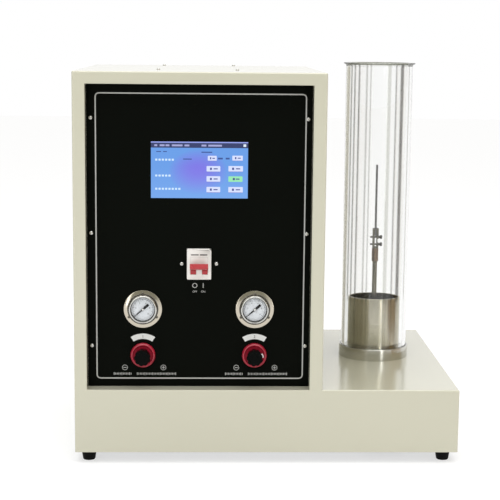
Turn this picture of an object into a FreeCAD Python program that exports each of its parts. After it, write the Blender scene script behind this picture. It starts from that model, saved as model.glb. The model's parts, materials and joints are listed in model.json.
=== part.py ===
"""Oxygen index tester: a cabinet with gauges and regulators, and a glass chimney on its plinth.

Frame: millimetres, +Z up, X to the right and Y from front to back. The origin is under the feet,
at the middle of the whole instrument's width and depth.
Most sizes below are measured in the cabinet's own corner frame: x from the left side, y back from
the front sheet, z up from the cabinet's lower edge. at(), deep() and high() carry them over.
"""
import FreeCAD, Part
import math
import operator
import os
import Sketcher

DRIVING_SIZES = [
    # Cabinet
    ("cabinet_width", 600.0, "whole width, tower and plinth"),
    ("tower_width", 385.0, "width of the tall part"),
    ("cabinet_height", 590.0, "height of the tower without feet"),
    ("plinth_height", 100.0, "height of the plinth without feet"),
    ("cabinet_depth", 450.0, "front sheet to rear sheet"),
    ("sheet", 1.5, "thickness of the cabinet's sheet steel"),
    ("bend_radius", 2.5, "outer radius of the cabinet's bends"),
    ("rear_flange", 12.0, "width of the return that the rear panel is screwed to"),
    ("seat_gap", 0.2, "gap round a piece that is dropped into its seat"),
    ("run_gap", 0.3, "gap between pieces that move past each other"),
    ("bearing_gap", 0.05, "radial clearance of a running fit"),
    ("base_sheet", 2.0, "thickness of the base plate"),
    ("base_edge", 14.0, "height of the base plate's turned-up edge"),
    # Recessed front panel
    ("opening_left", 19.5, "cabinet's left side to the panel opening"),
    ("opening_width", 345.0, "width of the panel opening"),
    ("opening_drop", 19.0, "cabinet's top to the top of the panel opening"),
    ("recess_depth", 24.0, "front sheet to the panel's face"),
    ("opening_lip", 14.0, "width of the lip behind the panel"),
    ("panel_thickness", 3.0, "thickness of the front panel"),
    ("panel_screw_inset", 6.5, "edge of the opening to the panel screws"),
    ("panel_screw_low", 65.0, "opening's lower edge to the lowest panel screws"),
    ("panel_screw_high", 52.0, "opening's upper edge to the highest panel screws"),
    # Pan-head screws
    ("screw_head", 2.8, "radius of a pan head"),
    ("screw_head_height", 2.2, "height of a pan head"),
    ("screw_shank", 1.5, "radius of a screw's shank"),
    ("screw_hole", 1.7, "radius of a screw's clearance hole"),
    ("screw_length", 7.0, "shank length of the panel and cabinet screws"),
    ("fan_screw_length", 16.0, "shank length of the fan screws"),
    # Roof screws and the tray that they hold
    ("roof_screw_spacing", 125.0, "roof screws, left to right"),
    ("roof_screw_front", 120.0, "front sheet to the front roof screws"),
    ("roof_screw_rear", 20.0, "rear sheet to the rear roof screws"),
    ("tray_flange", 20.0, "width of the control tray's flanges"),
    ("tray_height", 60.0, "depth of the control tray under the roof"),
    ("board_width", 90.0, "control board, left to right"),
    ("board_length", 240.0, "control board, front to back"),
    ("board_thickness", 1.6, "control board's thickness"),
    ("standoff_height", 8.0, "height of the board's standoffs"),
    ("standoff_radius", 3.0, "radius of the board's standoffs"),
    # Feet
    ("foot_height", 18.0, "height of a rubber foot"),
    ("foot_top", 12.0, "radius of a foot at the cabinet"),
    ("foot_bottom", 9.8, "radius of a foot at the floor"),
    ("foot_inset_x", 20.0, "cabinet's side to a foot's centre"),
    ("foot_inset_y", 26.0, "cabinet's front or rear to a foot's centre"),
    ("foot_screw", 2.0, "radius of a foot screw's shank"),
    ("foot_screw_head", 4.0, "radius of a foot screw's head"),
    ("foot_screw_height", 3.0, "height of a foot screw's head"),
    ("foot_screw_thread", 3.0, "length of a foot screw past the base plate"),
    ("foot_bore_depth", 10.0, "depth of the counterbore in a foot"),
    # Display
    ("screen_width", 148.5, "width of the display window"),
    ("screen_height", 86.5, "height of the display window"),
    ("screen_drop", 131.0, "opening's upper edge to the middle of the display"),
    ("display_width", 190.0, "width of the display's rim behind the panel"),
    ("display_height", 132.0, "height of the display's rim behind the panel"),
    ("display_depth", 34.0, "depth of the display behind the panel"),
    ("clamp_block", 8.0, "side of a display clamp"),
    ("glass_setback", 0.4, "panel's face to the display glass"),
    # Breaker
    ("breaker_drop", 145.4, "display's middle to the middle of the breaker"),
    ("breaker_width", 37.7, "width of the breaker's front"),
    ("breaker_front", 48.0, "height of the breaker's front"),
    ("breaker_tall", 78.0, "height of the breaker behind the panel"),
    ("breaker_reach", 6.0, "how far the breaker stands out of the panel"),
    ("breaker_corner", 3.2, "size of the cut corner of the breaker's front"),
    ("breaker_depth", 46.0, "depth of the breaker behind the panel"),
    ("pole_pitch", 18.0, "distance between the breaker's two poles"),
    ("lever_width", 8.6, "width of a toggle lever"),
    ("lever_drop", 10.1, "breaker's middle to the levers' pivot"),
    ("lever_drum", 8.0, "radius of the drum that a lever swings on"),
    ("lever_reach", 19.0, "pivot to the tip of a toggle lever"),
    ("lever_thickness", 3.6, "thickness of a toggle lever"),
    ("lever_lift", 28.0, "angle of the levers above level when on"),
    ("tie_bar_width", 28.2, "width of the bar that links the levers"),
    ("tie_bar_depth", 6.0, "depth of that bar along the levers"),
    ("tie_bar_height", 8.0, "height of that bar"),
    ("breaker_screw_spacing", 53.6, "distance between the bracket's screws"),
    # Gauges
    ("gauge_spacing", 174.0, "distance between the gauges, and the regulators"),
    ("gauge_middle", 123.0, "plinth's top to the gauges' centres"),
    ("flange_radius", 29.6, "radius of a gauge's flange"),
    ("flange_thickness", 1.5, "thickness of a gauge's flange"),
    ("gauge_can", 20.0, "radius of a gauge's case behind the panel"),
    ("gauge_depth", 25.0, "depth of a gauge's case behind the panel's face"),
    ("bezel_radius", 22.5, "outer radius of a gauge's bezel"),
    ("bezel_height", 7.5, "panel's face to the top of the bezel"),
    ("dial_radius", 19.0, "radius of a gauge's dial"),
    ("dial_thickness", 0.8, "thickness of a gauge's dial"),
    ("dial_window", 18.4, "radius of the bezel's window"),
    ("lens_thickness", 1.5, "thickness of a gauge's lens"),
    ("needle_reach", 17.2, "centre to the needle's tip"),
    ("needle_width", 2.6, "width of the pointer at its root"),
    ("tail_width", 3.8, "width of the needle's tail"),
    ("needle_tail", 11.5, "centre to the end of the needle's tail"),
    ("spindle_radius", 0.75, "radius of the needle's spindle"),
    ("gauge_screw_radius", 24.7, "gauge's axis to its flange screws"),
    ("gauge_screw_head", 2.2, "radius of a flange screw's head"),
    ("gauge_screw_height", 1.6, "height of a flange screw's head"),
    ("gauge_screw_length", 6.0, "shank length of a flange screw"),
    ("gauge_screw_hole", 1.6, "radius of a flange screw's clearance hole"),
    ("stem_radius", 7.0, "radius of a gauge's stem"),
    ("stem_length", 8.0, "length of a gauge's stem"),
    ("elbow_size", 14.0, "side of the elbow on a gauge's stem"),
    # Regulators
    ("regulator_middle", 50.0, "plinth's top to the regulators' axes"),
    ("ring_radius", 19.5, "outer radius of a regulator's panel ring"),
    ("ring_height", 6.0, "thickness of a regulator's panel ring"),
    ("bonnet_radius", 14.7, "radius of a regulator's bonnet"),
    ("regulator_block", 44.0, "side of a regulator's body"),
    ("regulator_setback", 18.0, "panel's face to the regulator's body"),
    ("port_radius", 8.0, "radius of a regulator's port boss"),
    ("port_length", 5.0, "length of a regulator's port boss"),
    ("adjuster_radius", 5.0, "radius of the stub that a knob turns on"),
    ("adjuster_length", 12.0, "length of the stub that a knob turns on"),
    ("knob_radius", 14.2, "radius of a regulator's knob at its face"),
    ("knob_root", 12.2, "radius of a regulator's knob at its root"),
    ("knob_face", 24.0, "panel's face to the knob's face"),
    ("flute_radius", 2.4, "radius of a flute in the knob"),
    # Gas lines
    ("tube_radius", 4.0, "outer radius of the gas tubes"),
    ("tube_bore", 2.7, "inner radius of the gas tubes"),
    ("tail_reach", 20.0, "how far a gas inlet stands out of the rear panel"),
    ("inlet_hex", 9.0, "radius of a gas inlet's collar"),
    ("inlet_thread", 6.0, "radius of a gas inlet's thread"),
    ("inlet_inside", 14.0, "length of a gas inlet inside the cabinet"),
    ("inlet_bore", 2.5, "radius of the way through a gas inlet"),
    ("controller_width", 30.0, "width of a flow controller"),
    ("controller_length", 125.0, "length of a flow controller"),
    ("controller_base", 26.0, "height of a flow controller's steel base"),
    ("controller_height", 100.0, "height of a flow controller"),
    ("controller_front", 105.0, "front sheet to the flow controllers"),
    ("gas_line_height", 15.0, "cabinet's lower edge to the axes of the low gas lines"),
    ("feed_bend", 25.0, "bend radius of the feed tubes"),
    ("nipple_radius", 5.0, "radius of a flow controller's nipples"),
    ("nipple_length", 8.0, "length of a flow controller's nipples"),
    ("manifold_width", 30.0, "depth and height of the mixing manifold"),
    ("manifold_length", 208.0, "length of the mixing manifold"),
    ("sensor_radius", 14.0, "radius of the oxygen sensor"),
    ("sensor_height", 50.0, "height of the oxygen sensor"),
    ("column_bend", 45.0, "bend radius of the column's feed tube"),
    # Power
    ("supply_length", 159.0, "length of the power supply"),
    ("supply_width", 97.0, "width of the power supply"),
    ("supply_height", 38.0, "height of the power supply"),
    ("supply_left", 200.0, "cabinet's left side to the power supply"),
    ("supply_back", 31.0, "rear sheet to the power supply"),
    ("power_inlet_x", 330.0, "cabinet's left side to the power inlet's middle"),
    ("power_inlet_z", 62.0, "cabinet's lower edge to the power inlet's middle"),
    ("inlet_body_width", 27.0, "width of the power inlet behind the panel"),
    ("inlet_body_height", 19.5, "height of the power inlet behind the panel"),
    ("inlet_body_depth", 26.0, "depth of the power inlet behind the panel"),
    ("inlet_pin_spacing", 7.0, "middle of the power inlet to an outer pin"),
    ("inlet_pin_rise", 2.0, "height of the middle pin over the inlet's middle"),
    ("fan_x", 285.0, "cabinet's left side to the fan's axis"),
    ("fan_z", 400.0, "cabinet's lower edge to the fan's axis"),
    ("fan_size", 80.0, "side of the fan's frame"),
    ("fan_depth", 25.0, "depth of the fan's frame"),
    ("fan_bore", 38.0, "radius of the fan's opening"),
    ("fan_hub", 15.0, "radius of the fan's hub"),
    ("fan_screw_spacing", 71.5, "distance between the fan's screws"),
    ("fan_shaft", 2.0, "radius of the fan's shaft"),
    ("blade_width", 16.0, "width of a fan blade at its root"),
    ("blade_thickness", 1.4, "thickness of a fan blade"),
    ("vent_length", 60.0, "length of a vent slot"),
    ("vent_height", 4.0, "height of a vent slot"),
    ("vent_pitch", 9.0, "distance between vent slots"),
    # Column
    ("column_x", 493.0, "cabinet's left side to the column's axis"),
    ("column_y", 250.0, "front sheet to the column's axis"),
    ("base_radius", 59.0, "radius of the column's base"),
    ("base_height", 20.0, "height of the column's base"),
    ("groove_depth", 12.0, "depth of the groove that the chimney stands in"),
    ("seal_thickness", 1.5, "thickness of the seal in the groove"),
    ("plenum_radius", 30.0, "radius of the hollow under the cup"),
    ("plenum_depth", 5.0, "depth of the hollow under the cup"),
    ("chimney_outer", 56.0, "outer radius of the glass chimney"),
    ("chimney_inner", 50.0, "inner radius of the glass chimney"),
    ("chimney_height", 492.0, "height of the glass chimney"),
    ("chimney_lip", 60.0, "radius of the chimney's flared lip"),
    ("lip_thickness", 2.5, "thickness of the chimney's flared lip"),
    ("cup_outer", 44.0, "outer radius of the mixing cup"),
    ("cup_inner", 40.0, "inner radius of the mixing cup"),
    ("cup_height", 85.0, "height of the mixing cup"),
    ("cup_floor", 5.0, "thickness of the mixing cup's floor"),
    ("boss_radius", 8.0, "radius of the boss that holds the specimen holder"),
    ("boss_height", 14.0, "height of that boss above the cup's floor"),
    ("bead_depth", 50.0, "depth of the bed of glass beads"),
    ("screen_thickness", 1.0, "thickness of the wire screen"),
    ("column_screw", 2.5, "radius of the screws that hold the column's base"),
    ("column_screw_radius", 40.0, "column's axis to those screws"),
    ("column_screw_head", 3.0, "height of their heads"),
    ("column_screw_grip", 9.0, "how far they reach into the base"),
    ("column_nipple", 7.0, "radius of the gas nipple under the column"),
    ("column_nipple_collar", 11.0, "radius of that nipple's collar"),
    ("nipple_drop", 14.0, "how far the nipple hangs under the plinth's sheet"),
    # Specimen holder
    ("post_radius", 4.0, "radius of the holder's tube"),
    ("post_top", 272.0, "cabinet's lower edge to the top of the holder's tube"),
    ("socket_radius", 5.6, "radius of the holder's socket"),
    ("socket_overlap", 7.0, "how far the tube reaches into the socket"),
    ("socket_top", 287.5, "cabinet's lower edge to the top of the socket"),
    ("spigot_radius", 3.0, "radius of the spigot under the clamp"),
    ("spigot_length", 7.0, "length of the spigot under the clamp"),
    ("clamp_depth", 8.0, "width of the clamp's leaves, front to back"),
    ("leaf_thickness", 3.3, "thickness of a clamp leaf"),
    ("clamp_foot", 3.5, "thickness of the clamp's foot"),
    ("clamp_height", 34.5, "height of the clamp"),
    ("upper_screw_height", 19.4, "clamp's underside to the upper thumbscrew"),
    ("lower_screw_height", 7.0, "clamp's underside to the lower thumbscrew"),
    ("thumbscrew_radius", 1.45, "radius of a thumbscrew's thread"),
    ("thumbscrew_tip", 9.0, "clamp's middle to the thumbscrew's tip"),
    ("thumbscrew_knob", 3.2, "radius of a thumbscrew's knob"),
    ("thumbscrew_reach", 11.4, "clamp's middle to the knob's end"),
    ("knob_thickness", 3.4, "thickness of a thumbscrew's knob"),
    ("specimen_thickness", 3.0, "thickness of the bar specimen"),
    ("specimen_width", 6.5, "width of the bar specimen"),
    ("specimen_length", 121.0, "length of the bar specimen"),
]

FACING_FRONT = FreeCAD.Rotation(FreeCAD.Vector(1, 0, 0), 90)
FACING_REAR = FreeCAD.Rotation(FreeCAD.Vector(1, 0, 0), -90)
FACING_DOWN = FreeCAD.Rotation(FreeCAD.Vector(1, 0, 0), 180)
FACING_UP = FreeCAD.Rotation()
FACING_RIGHT = FreeCAD.Rotation(FreeCAD.Vector(0, 1, 0), 90)
QUARTER_TURN = FreeCAD.Rotation(FreeCAD.Vector(0, 0, 1), 90)
ELBOW_TURN = FreeCAD.Rotation(FreeCAD.Vector(0, -1, 0), FreeCAD.Vector(0, 0, -1), FreeCAD.Vector(1, 0, 0))
NEEDLE_ZERO = math.radians(221)

doc = FreeCAD.newDocument("oxygen_index_tester")
pieces = []


class Size:
    """A length that knows both its number and the sheet expression that gives it."""

    def __init__(self, number, text):
        self.number = number
        self.text = text

    def __add__(self, other):
        return combined(operator.add, "+", self, other)

    def __radd__(self, other):
        return combined(operator.add, "+", other, self)

    def __sub__(self, other):
        return combined(operator.sub, "-", self, other)

    def __rsub__(self, other):
        return combined(operator.sub, "-", other, self)

    def __mul__(self, other):
        return combined(operator.mul, "*", self, other)

    def __rmul__(self, other):
        return combined(operator.mul, "*", other, self)

    def __truediv__(self, other):
        return combined(operator.truediv, "/", self, other)

    def __neg__(self):
        return combined(operator.sub, "-", 0, self)


def as_size(value):
    """A plain number as a Size."""
    if isinstance(value, Size):
        return value
    number = f"{value:.6f}"
    return Size(value, number if value >= 0 else f"({number})")


def combined(work, sign, left, right):
    """The Size that an arithmetic sign makes of two others."""
    left = as_size(left)
    right = as_size(right)
    return Size(work(left.number, right.number), f"({left.text} {sign} {right.text})")


def fill_sheet():
    """Write the driving sizes to the document's sheet."""
    sheet = doc.addObject("Spreadsheet::Sheet", "sizes")
    for row, (alias, number, meaning) in enumerate(DRIVING_SIZES, 1):
        sheet.set(f"A{row}", str(number))
        sheet.setAlias(f"A{row}", alias)
        sheet.set(f"B{row}", meaning)
    doc.recompute()
    return {alias: Size(number, f"sizes.{alias}") for alias, number, _ in DRIVING_SIZES}


size = fill_sheet()


def at(x):
    """Row frame X of a place measured from the cabinet's left side."""
    return x - size["cabinet_width"] / 2


def deep(y):
    """Row frame Y of a place measured back from the front sheet."""
    return y - (size["cabinet_depth"] + size["tail_reach"]) / 2


def high(z):
    """Row frame Z of a place measured up from the cabinet's lower edge."""
    return z + size["foot_height"]


def bind(item, path, value):
    """Set a property and tie it to the sheet."""
    item.setExpression(path, as_size(value).text)


def place(item, x, y, z, turn=FACING_UP):
    """Put an object's own origin at a place, turned."""
    item.Placement = FreeCAD.Placement(FreeCAD.Vector(0, 0, 0), turn)
    bind(item, "Placement.Base.x", x)
    bind(item, "Placement.Base.y", y)
    bind(item, "Placement.Base.z", z)


def finish(item, label, x, y, z, turn=FACING_UP):
    """Name a finished sub-part and set it at its place in the cabinet's corner frame."""
    item.Label = label
    place(item, at(x), deep(y), high(z), turn)
    pieces.append(item)
    return item


# Sketches and features of a body


def new_body(name):
    """An empty body."""
    return doc.addObject("PartDesign::Body", name + "_body")


def sketch_on(body, role, lift=0):
    """A sketch on one of the body's origin planes, lifted along the plane's normal."""
    sketch = body.newObject("Sketcher::SketchObject", "Outline")
    support = [feature for feature in body.Origin.OriginFeatures if feature.Role == role]
    sketch.AttachmentSupport = [(support[0], "")]
    sketch.MapMode = "FlatFace"
    bind(sketch, "AttachmentOffset.Base.z", lift)
    return sketch


def pin_down(sketch, geometry, corner, u, v):
    """Hold one point of a sketch at two bound distances from the sketch's origin."""
    for kind, value in (("DistanceX", u), ("DistanceY", v)):
        number = as_size(value).number
        row = sketch.addConstraint(Sketcher.Constraint(kind, -1, 1, geometry, corner, number))
        bind(sketch, f"Constraints[{row}]", value)


def outline(sketch, corners):
    """A closed outline of straight lines through the corners."""
    spots = [FreeCAD.Vector(as_size(u).number, as_size(v).number, 0) for u, v in corners]
    first = sketch.GeometryCount
    count = len(spots)
    for index, spot in enumerate(spots):
        sketch.addGeometry(Part.LineSegment(spot, spots[(index + 1) % count]))
    for index in range(count):
        following = first + (index + 1) % count
        sketch.addConstraint(Sketcher.Constraint("Coincident", first + index, 2, following, 1))
    for index, (u, v) in enumerate(corners):
        pin_down(sketch, first + index, 1, u, v)


def rectangle(sketch, left, low, right, top):
    """A rectangle between two corners."""
    outline(sketch, [(left, low), (right, low), (right, top), (left, top)])


def cut_out(sketch, u, v, width, height):
    """A rectangle that leaves the seat gap round something of a given width and height."""
    half_wide = width / 2 + GAP
    half_high = height / 2 + GAP
    rectangle(sketch, u - half_wide, v - half_high, u + half_wide, v + half_high)


def circle(sketch, u, v, radius):
    """A circle at a bound place with a bound radius."""
    middle = FreeCAD.Vector(as_size(u).number, as_size(v).number, 0)
    normal = FreeCAD.Vector(0, 0, 1)
    geometry = sketch.addGeometry(Part.Circle(middle, normal, as_size(radius).number))
    pin_down(sketch, geometry, 3, u, v)
    row = sketch.addConstraint(Sketcher.Constraint("Radius", geometry, as_size(radius).number))
    bind(sketch, f"Constraints[{row}]", radius)


def pad(body, sketch, length, reverse=False):
    """Add an outline's prism; the default way is along the sketch's normal."""
    feature = body.newObject("PartDesign::Pad", "Pad")
    feature.Profile = sketch
    bind(feature, "Length", length)
    feature.Reversed = reverse
    return feature


def pocket(body, sketch, length, reverse=False):
    """Cut an outline's prism; the default way is against the sketch's normal."""
    feature = body.newObject("PartDesign::Pocket", "Pocket")
    feature.Profile = sketch
    bind(feature, "Length", length)
    feature.Reversed = reverse
    return feature


def revolve(body, corners):
    """A solid of revolution about the body's Z, from (radius, height) corners."""
    sketch = sketch_on(body, "XZ_Plane")
    outline(sketch, corners)
    feature = body.newObject("PartDesign::Revolution", "Revolution")
    feature.Profile = sketch
    feature.ReferenceAxis = (sketch, ["V_Axis"])
    return feature


def round_edges(body, base, radius, chosen):
    """Fillet the edges of a feature that a test picks out."""
    doc.recompute()
    names = [f"Edge{index}" for index, edge in enumerate(base.Shape.Edges, 1) if chosen(edge)]
    feature = body.newObject("PartDesign::Fillet", "Fillet")
    feature.Base = (base, names)
    bind(feature, "Radius", radius)
    return feature


def repeat_round(body, feature, count):
    """Repeat a feature evenly round the body's Z."""
    axis = [item for item in body.Origin.OriginFeatures if item.Role == "Z_Axis"]
    pattern = body.newObject("PartDesign::PolarPattern", "PolarPattern")
    pattern.Originals = [feature]
    pattern.Axis = (axis[0], [""])
    pattern.Angle = 360
    pattern.Occurrences = count
    body.Tip = pattern
    return pattern


def repeat_along(body, feature, role, pitch, count):
    """Repeat a feature in a row along one of the body's axes."""
    axis = [item for item in body.Origin.OriginFeatures if item.Role == role]
    pattern = body.newObject("PartDesign::LinearPattern", "LinearPattern")
    pattern.Originals = [feature]
    pattern.Direction = (axis[0], [""])
    bind(pattern, "Length", pitch * (count - 1))
    pattern.Occurrences = count
    body.Tip = pattern
    return pattern


def near(one, other):
    """Whether two lengths are the same."""
    return abs(one - other) < 1e-4


def spans(edge, axis):
    """How far an edge reaches along an axis, 0 for X, 1 for Y and 2 for Z."""
    box = edge.BoundBox
    return (box.XLength, box.YLength, box.ZLength)[axis]


# Primitives and booleans


def block(x, y, z, length, width, height):
    """A box from its lowest corner."""
    item = doc.addObject("Part::Box", "Block")
    bind(item, "Length", length)
    bind(item, "Width", width)
    bind(item, "Height", height)
    place(item, x, y, z)
    return item


def rod(x, y, z, radius, length, turn=FACING_UP):
    """A cylinder from the middle of its end."""
    item = doc.addObject("Part::Cylinder", "Rod")
    bind(item, "Radius", radius)
    bind(item, "Height", length)
    place(item, x, y, z, turn)
    return item


def joined(items):
    """One solid of several that meet."""
    item = doc.addObject("Part::MultiFuse", "Joined")
    item.Shapes = items
    item.Refine = True
    return item


def without(base, tools):
    """A solid with others cut out of it."""
    item = doc.addObject("Part::Cut", "Cut")
    item.Base = base
    item.Tool = tools[0] if len(tools) == 1 else joined(tools)
    return item


def group(items):
    """Separate solids that share a node."""
    item = doc.addObject("Part::Compound", "Group")
    item.Links = items
    return item


def gather(label, items):
    """Name a group whose solids already stand in the row frame."""
    item = group(items)
    item.Label = label
    pieces.append(item)
    return item


def profile(corners):
    """A half outline for solids of revolution that are made several times."""
    sketch = doc.addObject("Sketcher::SketchObject", "Profile")
    sketch.Placement = FreeCAD.Placement(FreeCAD.Vector(0, 0, 0), FACING_FRONT)
    outline(sketch, corners)
    return sketch


def screw_profile(head, head_height, shank, length):
    """A pan-head screw: its head stands up from the seat and its shank runs down from it."""
    return profile([
        (0, -length), (shank, -length), (shank, 0), (head, 0), (head, head_height / 3),
        (head * 0.72, head_height), (0, head_height),
    ])


def turned(sketch, x, y, z, turn):
    """A half outline spun about its upright edge, at a place in the cabinet's corner frame."""
    item = doc.addObject("Part::Revolution", "Turned")
    item.Source = sketch
    item.Axis = FreeCAD.Vector(0, 0, 1)
    item.Base = FreeCAD.Vector(0, 0, 0)
    item.Angle = 360
    item.Solid = True
    place(item, at(x), deep(y), high(z), turn)
    return item


# Places that several pieces share

CABINET_RIGHT = size["cabinet_width"]
TOWER_RIGHT = size["tower_width"]
ROOF = size["cabinet_height"]
PLINTH_TOP = size["plinth_height"]
REAR = size["cabinet_depth"]
SHEET = size["sheet"]
GAP = size["seat_gap"]
PANEL_FACE = size["recess_depth"]
PANEL_BACK = size["recess_depth"] + size["panel_thickness"]
PANEL_MIDDLE = size["opening_left"] + size["opening_width"] / 2
OPENING_RIGHT = size["opening_left"] + size["opening_width"]
OPENING_TOP = ROOF - size["opening_drop"]
ROOF_MIDDLE = TOWER_RIGHT / 2 - 4
DISPLAY_Z = OPENING_TOP - size["screen_drop"]
BREAKER_Z = DISPLAY_Z - size["breaker_drop"]
LEVER_Z = BREAKER_Z - size["lever_drop"]
GAUGE_Z = PLINTH_TOP + size["gauge_middle"]
REGULATOR_Z = PLINTH_TOP + size["regulator_middle"]
GAS_SIDES = (
    ("oxygen", PANEL_MIDDLE - size["gauge_spacing"] / 2),
    ("nitrogen", PANEL_MIDDLE + size["gauge_spacing"] / 2),
)
ELBOW_Y = PANEL_FACE + size["gauge_depth"] + size["stem_length"] + size["elbow_size"] / 2
REGULATOR_BACK = PANEL_FACE + size["regulator_setback"] + size["regulator_block"]
COLUMN_X = size["column_x"]
COLUMN_Y = size["column_y"]
BASE_TOP = PLINTH_TOP + size["base_height"]
CUP_FLOOR = BASE_TOP + size["cup_floor"]
HOLDER_FOOT = CUP_FLOOR + 1

SCREW_INSET = size["panel_screw_inset"]
SCREW_LOW = PLINTH_TOP + size["panel_screw_low"]
SCREW_HIGH = OPENING_TOP - size["panel_screw_high"]
PANEL_SCREWS = [
    (x, z)
    for x in (size["opening_left"] + SCREW_INSET, OPENING_RIGHT - SCREW_INSET)
    for z in (SCREW_LOW, (SCREW_LOW + SCREW_HIGH) / 2, SCREW_HIGH)
]
BREAKER_SCREWS = [
    (PANEL_MIDDLE - size["breaker_screw_spacing"] / 2, BREAKER_Z),
    (PANEL_MIDDLE + size["breaker_screw_spacing"] / 2, BREAKER_Z),
]
ROOF_SCREW_BACK = REAR - size["roof_screw_rear"]
ROOF_SCREWS = [
    (ROOF_MIDDLE + side * size["roof_screw_spacing"] / 2, y)
    for side in (-1, 1)
    for y in (size["roof_screw_front"], ROOF_SCREW_BACK)
]
FLANGE_LINE = SHEET + size["rear_flange"] / 2
REAR_SCREWS = [
    (FLANGE_LINE, PLINTH_TOP / 2),
    (FLANGE_LINE, ROOF / 2),
    (FLANGE_LINE, ROOF - FLANGE_LINE - size["rear_flange"]),
    (TOWER_RIGHT / 2, ROOF - FLANGE_LINE),
    (TOWER_RIGHT - FLANGE_LINE, ROOF - FLANGE_LINE - size["rear_flange"]),
    (TOWER_RIGHT - FLANGE_LINE, ROOF / 2),
    ((TOWER_RIGHT + CABINET_RIGHT) / 2, PLINTH_TOP - FLANGE_LINE),
    (CABINET_RIGHT - FLANGE_LINE, PLINTH_TOP / 2),
]
FAN_SPACING = size["fan_screw_spacing"]
FAN_SCREWS = [
    (size["fan_x"] + FAN_SPACING * side / 2, size["fan_z"] + FAN_SPACING * level / 2)
    for side in (-1, 1)
    for level in (-1, 1)
]
FEET = [
    (x, y)
    for x in (size["foot_inset_x"], CABINET_RIGHT - size["foot_inset_x"])
    for y in (size["foot_inset_y"], REAR - size["foot_inset_y"])
]
MANIFOLD_FRONT = size["controller_front"] + size["controller_length"] + 5
MANIFOLD_LEFT = PANEL_MIDDLE - size["manifold_length"] / 2


def three_round(radius):
    """Three places on a circle, the first at its top."""
    spokes = [math.radians(angle) for angle in (90, 210, 330)]
    return [(radius * math.cos(spoke), radius * math.sin(spoke)) for spoke in spokes]


COLUMN_SCREWS = three_round(size["column_screw_radius"])
GAUGE_SCREWS = three_round(size["gauge_screw_radius"])


def l_shape(inset, low):
    """The cabinet's L-shaped outline seen from the front, inset on all but its lower side."""
    return [
        (inset, low), (CABINET_RIGHT - inset, low), (CABINET_RIGHT - inset, PLINTH_TOP - inset),
        (TOWER_RIGHT - inset, PLINTH_TOP - inset), (TOWER_RIGHT - inset, ROOF - inset), (inset, ROOF - inset),
    ]


def make_cabinet_shell():
    """The folded housing: L-shaped, open below and behind, with the recess for the front panel."""
    body = new_body("cabinet_shell")
    sketch = sketch_on(body, "XZ_Plane")
    outline(sketch, l_shape(0, 0))
    solid = pad(body, sketch, REAR, reverse=True)
    bends = (0.0, CABINET_RIGHT.number, TOWER_RIGHT.number)
    levels = (ROOF.number, PLINTH_TOP.number)

    def is_bend(edge):
        middle = edge.CenterOfMass
        front = near(middle.y, 0) and middle.z > 1
        along = spans(edge, 1) > 1 and any(near(middle.z, level) for level in levels)
        return front or (along and not (near(middle.x, bends[2]) and near(middle.z, levels[1])))

    round_edges(body, solid, size["bend_radius"], is_bend)

    sketch = sketch_on(body, "XZ_Plane", -SHEET)
    outline(sketch, l_shape(SHEET, -SHEET))
    pocket(body, sketch, REAR - SHEET * 3)
    sketch = sketch_on(body, "XZ_Plane", SHEET * 2 - REAR)
    outline(sketch, l_shape(SHEET + size["rear_flange"], -SHEET))
    pocket(body, sketch, SHEET * 3)
    sketch = sketch_on(body, "XZ_Plane", SHEET - REAR)
    outline(sketch, l_shape(SHEET, -SHEET))
    pocket(body, sketch, SHEET * 2)

    sketch = sketch_on(body, "XZ_Plane", -SHEET / 2)
    left = size["opening_left"]
    rectangle(sketch, left - SHEET, PLINTH_TOP - SHEET, OPENING_RIGHT + SHEET, OPENING_TOP + SHEET)
    pad(body, sketch, PANEL_BACK + SHEET / 2, reverse=True)
    sketch = sketch_on(body, "XZ_Plane")
    rectangle(sketch, left, PLINTH_TOP, OPENING_RIGHT, OPENING_TOP)
    recess = pocket(body, sketch, PANEL_BACK)
    sides = (left.number, OPENING_RIGHT.number)

    def is_recess_edge(edge):
        middle = edge.CenterOfMass
        upright = any(near(middle.x, side) for side in sides) and spans(edge, 2) > 1
        level = any(near(middle.z, height) for height in (PLINTH_TOP.number, OPENING_TOP.number))
        inside = sides[0] < middle.x < sides[1] and spans(edge, 0) > 1
        return near(middle.y, 0) and (upright or (level and inside))

    round_edges(body, recess, SHEET * 0.9, is_recess_edge)
    lip = size["opening_lip"]
    sketch = sketch_on(body, "XZ_Plane", -PANEL_BACK)
    rectangle(sketch, left + lip, PLINTH_TOP + lip, OPENING_RIGHT - lip, OPENING_TOP - lip)
    pocket(body, sketch, SHEET * 2)

    sketch = sketch_on(body, "XZ_Plane", -PANEL_BACK)
    for x, z in PANEL_SCREWS:
        circle(sketch, x, z, size["screw_hole"])
    pocket(body, sketch, SHEET * 2)
    sketch = sketch_on(body, "XZ_Plane", SHEET * 2 - REAR)
    for x, z in REAR_SCREWS:
        circle(sketch, x, z, size["screw_hole"])
    pocket(body, sketch, SHEET * 2)
    sketch = sketch_on(body, "XY_Plane", ROOF)
    for x, y in ROOF_SCREWS:
        circle(sketch, x, y, size["screw_hole"])
    pocket(body, sketch, SHEET * 2)
    sketch = sketch_on(body, "XY_Plane", PLINTH_TOP)
    circle(sketch, COLUMN_X, COLUMN_Y, size["column_nipple"] + size["run_gap"])
    for x, y in COLUMN_SCREWS:
        circle(sketch, COLUMN_X + x, COLUMN_Y + y, size["column_screw"] + GAP)
    pocket(body, sketch, SHEET * 2)
    finish(body, "cabinet_shell", 0, 0, 0)


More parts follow.
